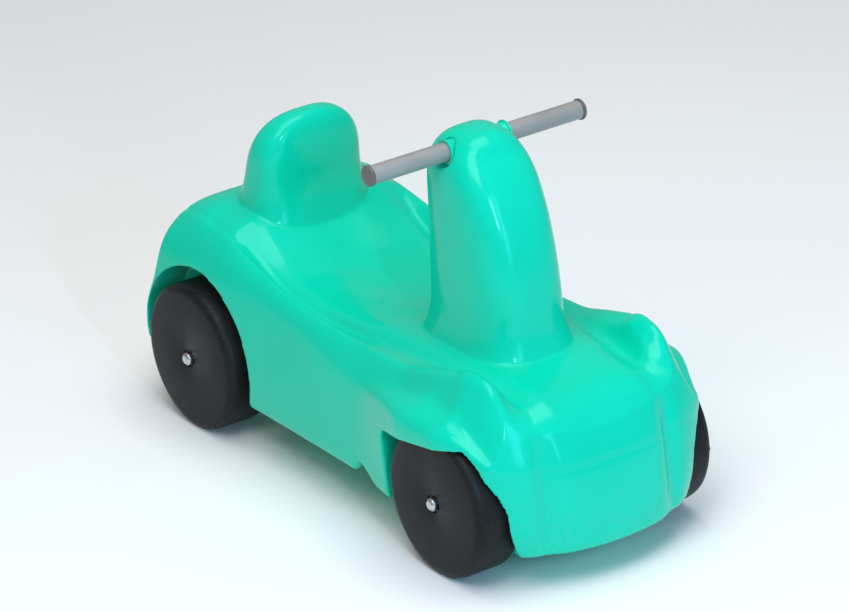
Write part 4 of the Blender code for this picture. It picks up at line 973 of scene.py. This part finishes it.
def shell_mesh():
    """The body's skin, moulded in one piece, with softened edges."""
    body = add_object("shell_form", loft("shell_form", hull_rings()), CUTTERS)
    plan_rings = [plan_ring(height) for height in dense(PLAN_HEIGHTS, HEIGHT_STEPS)]
    for name, rings, operation in (
        ("plan_trim", plan_rings, "INTERSECT"),
        ("column_form", column_rings(), "UNION"),
        ("backrest_form", backrest_rings(), "UNION"),
    ):
        cut(body, add_cutter(name, loft(name, rings)), operation)
    hollows = []
    for side, label in ((-1, "right"), (1, "left")):
        near = side * WELL_WALL_X
        far = side * OUTSIDE_X
        name = f"rear_well_{label}"
        well = cylinder(name, REAR_ARCH_RADIUS, near, far, REAR_AXLE_Y, WHEEL_RADIUS, WELL_SEGMENTS)
        hollows += [well, front_well(f"front_well_{label}", side)]
        hollows.append(arch_opening(f"front_arch_{label}", side))
        far = side * (COLUMN_HALF_WIDTH + SEAT_REACH)
        near = side * GROMMET_SEAT_X
        name = f"grommet_seat_{label}"
        seat = cylinder(name, GROMMET_SEAT_RADIUS, near, far, HANDLEBAR_Y, HANDLEBAR_HEIGHT)
        near = side * (GROMMET_SEAT_X - GROMMET_BARREL_LENGTH)
        radius = GROMMET_BARREL_RADIUS + FIT_GAP
        name = f"grommet_bore_{label}"
        hollows += [seat, cylinder(name, radius, near, far, HANDLEBAR_Y, HANDLEBAR_HEIGHT)]
    for name, axle_y in (("front_axle_bore", FRONT_AXLE_Y), ("rear_axle_bore", REAR_AXLE_Y)):
        reach = WELL_WALL_X + BORE_REACH
        hollows.append(cylinder(name, BUSH_BARREL_RADIUS + FIT_GAP, -reach, reach, axle_y, WHEEL_RADIUS))
    bore = HANDLEBAR_RADIUS + FIT_GAP
    reach = GROMMET_SEAT_X
    hollows.append(cylinder("handlebar_bore", bore, -reach, reach, HANDLEBAR_Y, HANDLEBAR_HEIGHT))
    seat = SCREW_HEAD_RADIUS + SCREW_SEAT_CLEARANCE
    hollows.append(screw_bore("screw_seat", seat, COLUMN_BACK - CUT_REACH, SCREW_SEAT_AHEAD))
    hollows.append(screw_bore("screw_bore", SCREW_RADIUS + FIT_GAP, COLUMN_BACK, HANDLEBAR_AHEAD))
    vent = cylinder("vent_hole", VENT_RADIUS + FIT_GAP, -CUT_REACH, CUT_REACH, 0, BELLY_HEIGHT)
    vent.rotation_euler = (0, 0, 0)
    hollows.append(vent)
    for hollow in hollows:
        cut(body, hollow)
    remesh = body.modifiers.new("soft_edges", "REMESH")
    remesh.mode = "VOXEL"
    remesh.voxel_size = SHELL_VOXEL
    remesh.use_smooth_shade = True
    soften = body.modifiers.new("soften", "SMOOTH")
    soften.factor = 0.5
    soften.iterations = SHELL_SOFTENING
    mesh = baked(body)
    mesh.name = "moulded_shell"
    mesh.shade_smooth()
    return mesh


def new_material(name, colour, roughness, metallic=0.0):
    """A material with its object coordinates and shader, ready for nodes."""
    made = bpy.data.materials.new(name)
    made.use_nodes = True
    tree = made.node_tree
    shader = tree.nodes["Principled BSDF"]
    shader.inputs["Base Color"].default_value = (*colour, 1.0)
    shader.inputs["Roughness"].default_value = roughness
    shader.inputs["Metallic"].default_value = metallic
    made.diffuse_color = (*colour, 1.0)
    place = tree.nodes.new("ShaderNodeTexCoord").outputs["Object"]
    return made, tree, shader, place


def stretched(tree, place, scale):
    mapping = tree.nodes.new("ShaderNodeMapping")
    mapping.inputs["Scale"].default_value = scale
    tree.links.new(place, mapping.inputs["Vector"])
    return mapping.outputs["Vector"]


def noise(tree, place, scale, detail=2.0, roughness=0.5):
    node = tree.nodes.new("ShaderNodeTexNoise")
    node.inputs["Scale"].default_value = scale
    node.inputs["Detail"].default_value = detail
    node.inputs["Roughness"].default_value = roughness
    tree.links.new(place, node.inputs["Vector"])
    return node.outputs["Fac"]


def spread(tree, value, low, high, from_low=0.3, from_high=0.7):
    """A texture's value mapped on to a range."""
    node = tree.nodes.new("ShaderNodeMapRange")
    node.inputs["From Min"].default_value = from_low
    node.inputs["From Max"].default_value = from_high
    node.inputs["To Min"].default_value = low
    node.inputs["To Max"].default_value = high
    tree.links.new(value, node.inputs["Value"])
    return node.outputs["Result"]


def mixed(tree, share, first, second):
    """A colour between two, each a socket or three numbers."""
    node = tree.nodes.new("ShaderNodeMix")
    node.data_type = "RGBA"
    tree.links.new(share, node.inputs[0])
    for value, socket in ((first, node.inputs[6]), (second, node.inputs[7])):
        if isinstance(value, bpy.types.NodeSocket):
            tree.links.new(value, socket)
        else:
            socket.default_value = (*value, 1.0)
    return node.outputs[2]


def bumps(tree, shader, layers):
    """Bump from (height, distance, strength) layers."""
    normal = None
    for height, distance, strength in layers:
        node = tree.nodes.new("ShaderNodeBump")
        node.inputs["Distance"].default_value = distance
        node.inputs["Strength"].default_value = strength
        tree.links.new(height, node.inputs["Height"])
        if normal is not None:
            tree.links.new(normal, node.inputs["Normal"])
        normal = node.outputs["Normal"]
    tree.links.new(normal, shader.inputs["Normal"])


def low_share(tree, place, low, high):
    """1 below one height and 0 above another."""
    parts = tree.nodes.new("ShaderNodeSeparateXYZ")
    tree.links.new(place, parts.inputs["Vector"])
    return spread(tree, parts.outputs["Z"], 1.0, 0.0, low, high)


def product(tree, first, second):
    node = tree.nodes.new("ShaderNodeMath")
    node.operation = "MULTIPLY"
    tree.links.new(first, node.inputs[0])
    tree.links.new(second, node.inputs[1])
    return node.outputs["Value"]


def shell_finish():
    """Glossy moulded polyethylene: slow waves, fine pebbling, faint scuffs and dust low down."""
    made, tree, shader, place = new_material("teal_moulded_plastic", TEAL, 0.2)
    clouds = noise(tree, place, 9.0, 3.0)
    colour = mixed(tree, spread(tree, clouds, 0.0, 1.0), TEAL_DEEP, TEAL)
    scuffs = noise(tree, stretched(tree, place, (30.0, 12.0, 120.0)), 3.0, 6.0, 0.7)
    scuffed = spread(tree, scuffs, 0.0, 0.35, 0.60, 0.78)
    colour = mixed(tree, scuffed, colour, TEAL_SCUFFED)
    specks = noise(tree, place, 260.0, 3.0, 0.6)
    dusty = product(tree, low_share(tree, place, 0.030, 0.120), spread(tree, specks, 0.0, 0.16, 0.42, 0.75))
    colour = mixed(tree, dusty, colour, DUST)
    tree.links.new(colour, shader.inputs["Base Color"])
    patches = noise(tree, place, 45.0, 4.0, 0.6)
    tree.links.new(spread(tree, patches, 0.13, 0.21), shader.inputs["Roughness"])
    pebbles = noise(tree, place, 900.0, 2.0)
    waves = noise(tree, place, 38.0, 1.0)
    bumps(tree, shader, ((waves, 0.0005, 0.25), (pebbles, 0.00005, 0.35), (scuffs, 0.00004, 0.30)))
    shader.inputs["Specular IOR Level"].default_value = 0.26
    shader.inputs["Specular Tint"].default_value = (0.50, 1.0, 0.96, 1.0)
    shader.inputs["Coat Weight"].default_value = 0.06
    shader.inputs["Coat Roughness"].default_value = 0.08
    shader.inputs["Subsurface Weight"].default_value = 0.08
    shader.inputs["Subsurface Radius"].default_value = (0.2, 1.0, 0.8)
    shader.inputs["Subsurface Scale"].default_value = 0.003
    return made


def wheel_finish():
    """Dark moulded plastic, a little greyed by dust on the tread."""
    made, tree, shader, place = new_material("dark_wheel_plastic", WHEEL_GREY, 0.42)
    clouds = noise(tree, place, 22.0, 4.0, 0.6)
    colour = mixed(tree, spread(tree, clouds, 0.0, 1.0), WHEEL_GREY, WHEEL_GREY_WORN)
    specks = noise(tree, place, 420.0, 3.0, 0.65)
    colour = mixed(tree, spread(tree, specks, 0.0, 0.12, 0.58, 0.80), colour, DUST)
    tree.links.new(colour, shader.inputs["Base Color"])
    tree.links.new(spread(tree, clouds, 0.34, 0.50), shader.inputs["Roughness"])
    shader.inputs["Specular IOR Level"].default_value = 0.14
    grain = noise(tree, place, 1500.0, 2.0)
    bumps(tree, shader, ((grain, 0.00006, 0.5), (specks, 0.00005, 0.3)))
    return made


def fitting_finish(name, colour):
    """Fine-grained plastic of the small fittings."""
    made, tree, shader, place = new_material(name, colour, 0.4)
    clouds = noise(tree, place, 120.0, 3.0)
    darker = tuple(part * 0.75 for part in colour)
    tree.links.new(mixed(tree, spread(tree, clouds, 0.0, 1.0), darker, colour), shader.inputs["Base Color"])
    tree.links.new(spread(tree, clouds, 0.32, 0.48), shader.inputs["Roughness"])
    bumps(tree, shader, ((noise(tree, place, 2200.0, 2.0), 0.00004, 0.5),))
    return made


def paint_finish():
    """Powder coat on tube: orange peel, fine rubbed lines along the bar."""
    made, tree, shader, place = new_material("grey_powder_coat", BAR_GREY, 0.34)
    clouds = noise(tree, place, 30.0, 3.0)
    colour = mixed(tree, spread(tree, clouds, 0.0, 1.0), BAR_GREY_DEEP, BAR_GREY)
    rubbed = noise(tree, stretched(tree, place, (14.0, 500.0, 500.0)), 1.0, 4.0, 0.6)
    colour = mixed(tree, spread(tree, rubbed, 0.0, 0.5, 0.62, 0.80), colour, BAR_RUBBED)
    tree.links.new(colour, shader.inputs["Base Color"])
    tree.links.new(spread(tree, clouds, 0.28, 0.42), shader.inputs["Roughness"])
    peel = noise(tree, place, 800.0, 1.5)
    bumps(tree, shader, ((peel, 0.00012, 0.45), (rubbed, 0.00003, 0.4)))
    return made


def steel_finish():
    """Zinc-plated steel with turning marks and spangle."""
    made, tree, shader, place = new_material("zinc_plated", ZINC, 0.32, 1.0)
    spangle = tree.nodes.new("ShaderNodeTexVoronoi")
    spangle.inputs["Scale"].default_value = 700.0
    tree.links.new(place, spangle.inputs["Vector"])
    cells = spread(tree, spangle.outputs["Distance"], 0.0, 1.0, 0.0, 0.8)
    tree.links.new(mixed(tree, cells, ZINC_DEEP, ZINC), shader.inputs["Base Color"])
    turned_marks = noise(tree, stretched(tree, place, (4000.0, 300.0, 300.0)), 1.0, 2.0)
    tree.links.new(spread(tree, turned_marks, 0.26, 0.42), shader.inputs["Roughness"])
    bumps(tree, shader, ((turned_marks, 0.00003, 0.4),))
    return made


def floor_finish():
    made, tree, shader, place = new_material("pale_floor", FLOOR_GREY, 0.6)
    clouds = noise(tree, place, 1.5, 3.0)
    darker = tuple(part * 0.985 for part in FLOOR_GREY)
    colour = mixed(tree, spread(tree, clouds, 0.0, 1.0), darker, FLOOR_GREY)
    tree.links.new(colour, shader.inputs["Base Color"])
    return made


def softened(mesh, width):
    """The mesh with its sharp edges rounded by a small bevel."""
    obj = add_object("softened", mesh, CUTTERS)
    bevel = obj.modifiers.new("bevel", "BEVEL")
    bevel.width = width
    bevel.segments = 2
    bevel.limit_method = "ANGLE"
    bevel.angle_limit = math.radians(BEVEL_ANGLE)
    bevel.use_clamp_overlap = True
    result = baked(obj)
    bpy.data.meshes.remove(mesh)
    smooth(result, BEVELLED_SHARP_ANGLE)
    return result


def add_piece(name, mesh, finish, body, node, place=None):
    """A visible piece that stands for a CAD node and rides on its body."""
    if place is not None:
        mesh.transform(place)
    mesh.name = name
    obj = add_object(name, mesh)
    mesh.materials.clear()
    mesh.materials.append(finish)
    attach(obj, body)
    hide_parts(node)
    return obj


def across(x, y, z, side):
    """Place of a part made about Z so that its top faces the car's left (1) or right (-1)."""
    turn = Matrix.Rotation(side * math.pi / 2, 4, "Y")
    return Matrix.Translation((side * x, y, z)) @ turn


def add_running_gear(wheel_plastic, dark_plastic, steel):
    """The two axles, and for each wheel its cap, washer and bush."""
    wheel = softened(wheel_mesh(), WHEEL_BEVEL)
    bore = AXLE_RADIUS + FIT_GAP
    bush_sizes = (bore, BUSH_BARREL_RADIUS, BUSH_FLANGE_RADIUS, BUSH_FLANGE_THICKNESS, BUSH_BARREL_LENGTH)
    for end, axle_y in (("front", FRONT_AXLE_Y), ("rear", REAR_AXLE_Y)):
        profile = [(0, AXLE_END_X), (AXLE_RADIUS, AXLE_END_X), (AXLE_RADIUS, -AXLE_END_X), (0, -AXLE_END_X)]
        mesh = softened(turned("axle", profile), AXLE_BEVEL)
        place = across(0, axle_y, WHEEL_RADIUS, 1)
        add_piece(f"{end}_axle_rod", mesh, steel, "chassis", f"{end}_axle", place)
        for side, label in ((-1, "right"), (1, "left")):
            where = f"{end}_{label}"
            place = across(WHEEL_X, axle_y, WHEEL_RADIUS, side)
            name = f"moulded_wheel_{where}"
            body = f"{where}_wheel"
            add_piece(name, wheel.copy(), wheel_plastic, body, f"wheel_{where}", place)
            cap = softened(cap_mesh("cap"), CAP_BEVEL)
            washer = softened(ring_mesh("ring", WASHER_RADIUS, bore, WASHER_THICKNESS), WASHER_BEVEL)
            bush = softened(flanged_mesh("bush", *bush_sizes), BUSH_BEVEL)
            for name, node, mesh, x, finish, slot in (
                ("push_cap", "axle_cap", cap, CAP_X, steel, "plated_steel"),
                ("flat_washer", "washer", washer, WASHER_X, steel, "plated_steel"),
                ("flanged_bush", "axle_bush", bush, BUSH_X, dark_plastic, "dark_fittings"),
            ):
                place = across(x, axle_y, WHEEL_RADIUS, side)
                add_piece(f"{name}_{where}", mesh, finish, "chassis", f"{node}_{where}", place)
    bpy.data.meshes.remove(wheel)


def add_floor():
    mesh = bpy.data.meshes.new("floor")
    form = bmesh.new()
    bmesh.ops.create_circle(form, cap_ends=True, segments=96, radius=FLOOR_RADIUS)
    form.to_mesh(mesh)
    form.free()
    floor = add_object("floor", mesh)
    floor.location.z = FLOOR_HEIGHT
    mesh.materials.append(floor_finish())
    floor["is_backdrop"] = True


def add_light(name, towards, distance, size, power, colour):
    """A soft rectangular light in a direction from the car, facing the car."""
    data = bpy.data.lights.new(name, "AREA")
    data.shape = "RECTANGLE"
    data.size, data.size_y = size
    data.energy = power
    data.color = colour
    obj = add_object(name, data)
    direction = Vector(towards).normalized()
    obj.location = Vector(AIM) + direction * distance
    obj.rotation_euler = direction.to_track_quat("Z", "Y").to_euler()


def add_studio():
    world = bpy.data.worlds.new("studio")
    bpy.context.scene.world = world
    world.use_nodes = True
    background = world.node_tree.nodes["Background"]
    background.inputs["Color"].default_value = (*SKY_COLOUR, 1.0)
    background.inputs["Strength"].default_value = SKY_STRENGTH
    for light in LIGHTS:
        add_light(*light)
    bpy.context.scene.view_settings.view_transform = "Standard"


def add_camera():
    """A long lens at the photograph's viewing angle and distance, aimed at the car."""
    data = bpy.data.cameras.new("camera")
    data.lens = CAMERA_LENS
    data.sensor_width = 36.0
    data.clip_end = 60.0
    obj = add_object("camera", data)
    place = Vector(CAMERA_PLACE)
    ahead = (Vector(AIM) - place).normalized()
    swing = Vector(PHOTO_AHEAD).rotation_difference(ahead)
    up = swing @ Vector(PHOTO_UP)
    right = ahead.cross(up).normalized()
    up = right.cross(ahead)
    obj.matrix_world = Matrix.Translation(place) @ Matrix((right, up, -ahead)).transposed().to_4x4()
    bpy.context.scene.camera = obj


def add_handlebar(paint, dark_plastic, shell_plastic, steel):
    half = HANDLEBAR_LENGTH / 2
    inner = HANDLEBAR_RADIUS - HANDLEBAR_WALL
    profile = [(inner, half), (HANDLEBAR_RADIUS, half), (HANDLEBAR_RADIUS, -half), (inner, -half)]
    bar = add_object("bar_form", turned("bar_form", profile), CUTTERS)
    place_across(bar, 0, HANDLEBAR_Y, HANDLEBAR_HEIGHT, 1)
    hole = screw_bore("handlebar_screw_hole", SCREW_RADIUS + FIT_GAP, SCREW_SEAT_AHEAD, HANDLEBAR_AHEAD)
    cut(bar, hole)
    bpy.context.view_layer.update()
    place = bar.matrix_world.copy()
    mesh = baked(bar)
    smooth(mesh)
    add_piece("handle_tube", mesh, paint, "chassis", "handlebar", place)
    for side, label in ((-1, "right"), (1, "left")):
        plug = inner - FIT_GAP
        profile = [
            (0, END_CAP_THICKNESS),
            (END_CAP_RADIUS - END_CAP_EDGE, END_CAP_THICKNESS),
            (END_CAP_RADIUS, END_CAP_THICKNESS - END_CAP_EDGE),
            (END_CAP_RADIUS, 0),
            (plug, 0),
            (plug, -END_CAP_PLUG_LENGTH),
            (0, -END_CAP_PLUG_LENGTH),
        ]
        mesh = softened(turned("tube_plug", profile), END_CAP_BEVEL)
        place = across(half + FIT_GAP, HANDLEBAR_Y, HANDLEBAR_HEIGHT, side)
        name = f"tube_plug_{label}"
        add_piece(name, mesh, dark_plastic, "chassis", f"handlebar_cap_{label}", place)
        sizes = (HANDLEBAR_RADIUS + FIT_GAP, GROMMET_BARREL_RADIUS, GROMMET_RADIUS, GROMMET_THICKNESS)
        grommet = flanged_mesh("grommet", *sizes, GROMMET_BARREL_LENGTH - FIT_GAP * 2)
        mesh = softened(grommet, GROMMET_BEVEL)
        place = across(GROMMET_X, HANDLEBAR_Y, HANDLEBAR_HEIGHT, side)
        name = f"tube_grommet_{label}"
        add_piece(name, mesh, shell_plastic, "chassis", f"handlebar_grommet_{label}", place)


def main():
    shell_plastic = shell_finish()
    wheel_plastic = wheel_finish()
    dark_plastic = fitting_finish("dark_fitting_plastic", FITTING_GREY)
    paint = paint_finish()
    steel = steel_finish()
    add_piece("moulded_shell", shell_mesh(), shell_plastic, "chassis", "body_shell")
    add_running_gear(wheel_plastic, dark_plastic, steel)
    add_handlebar(paint, dark_plastic, shell_plastic, steel)
    for node, finish in (("handlebar_screw", steel), ("vent_plug", dark_plastic)):
        kept = frame["nodes"][node]
        kept.data.materials.clear()
        kept.data.materials.append(finish)
    for obj in list(CUTTERS.objects):
        bpy.data.objects.remove(obj, do_unlink=True)
    add_floor()
    add_studio()
    add_camera()
    boxes = {"cad": CAD_BOX, "visual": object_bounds()}
    boxes = {name: [list(corner) for corner in box] for name, box in boxes.items()}


main()
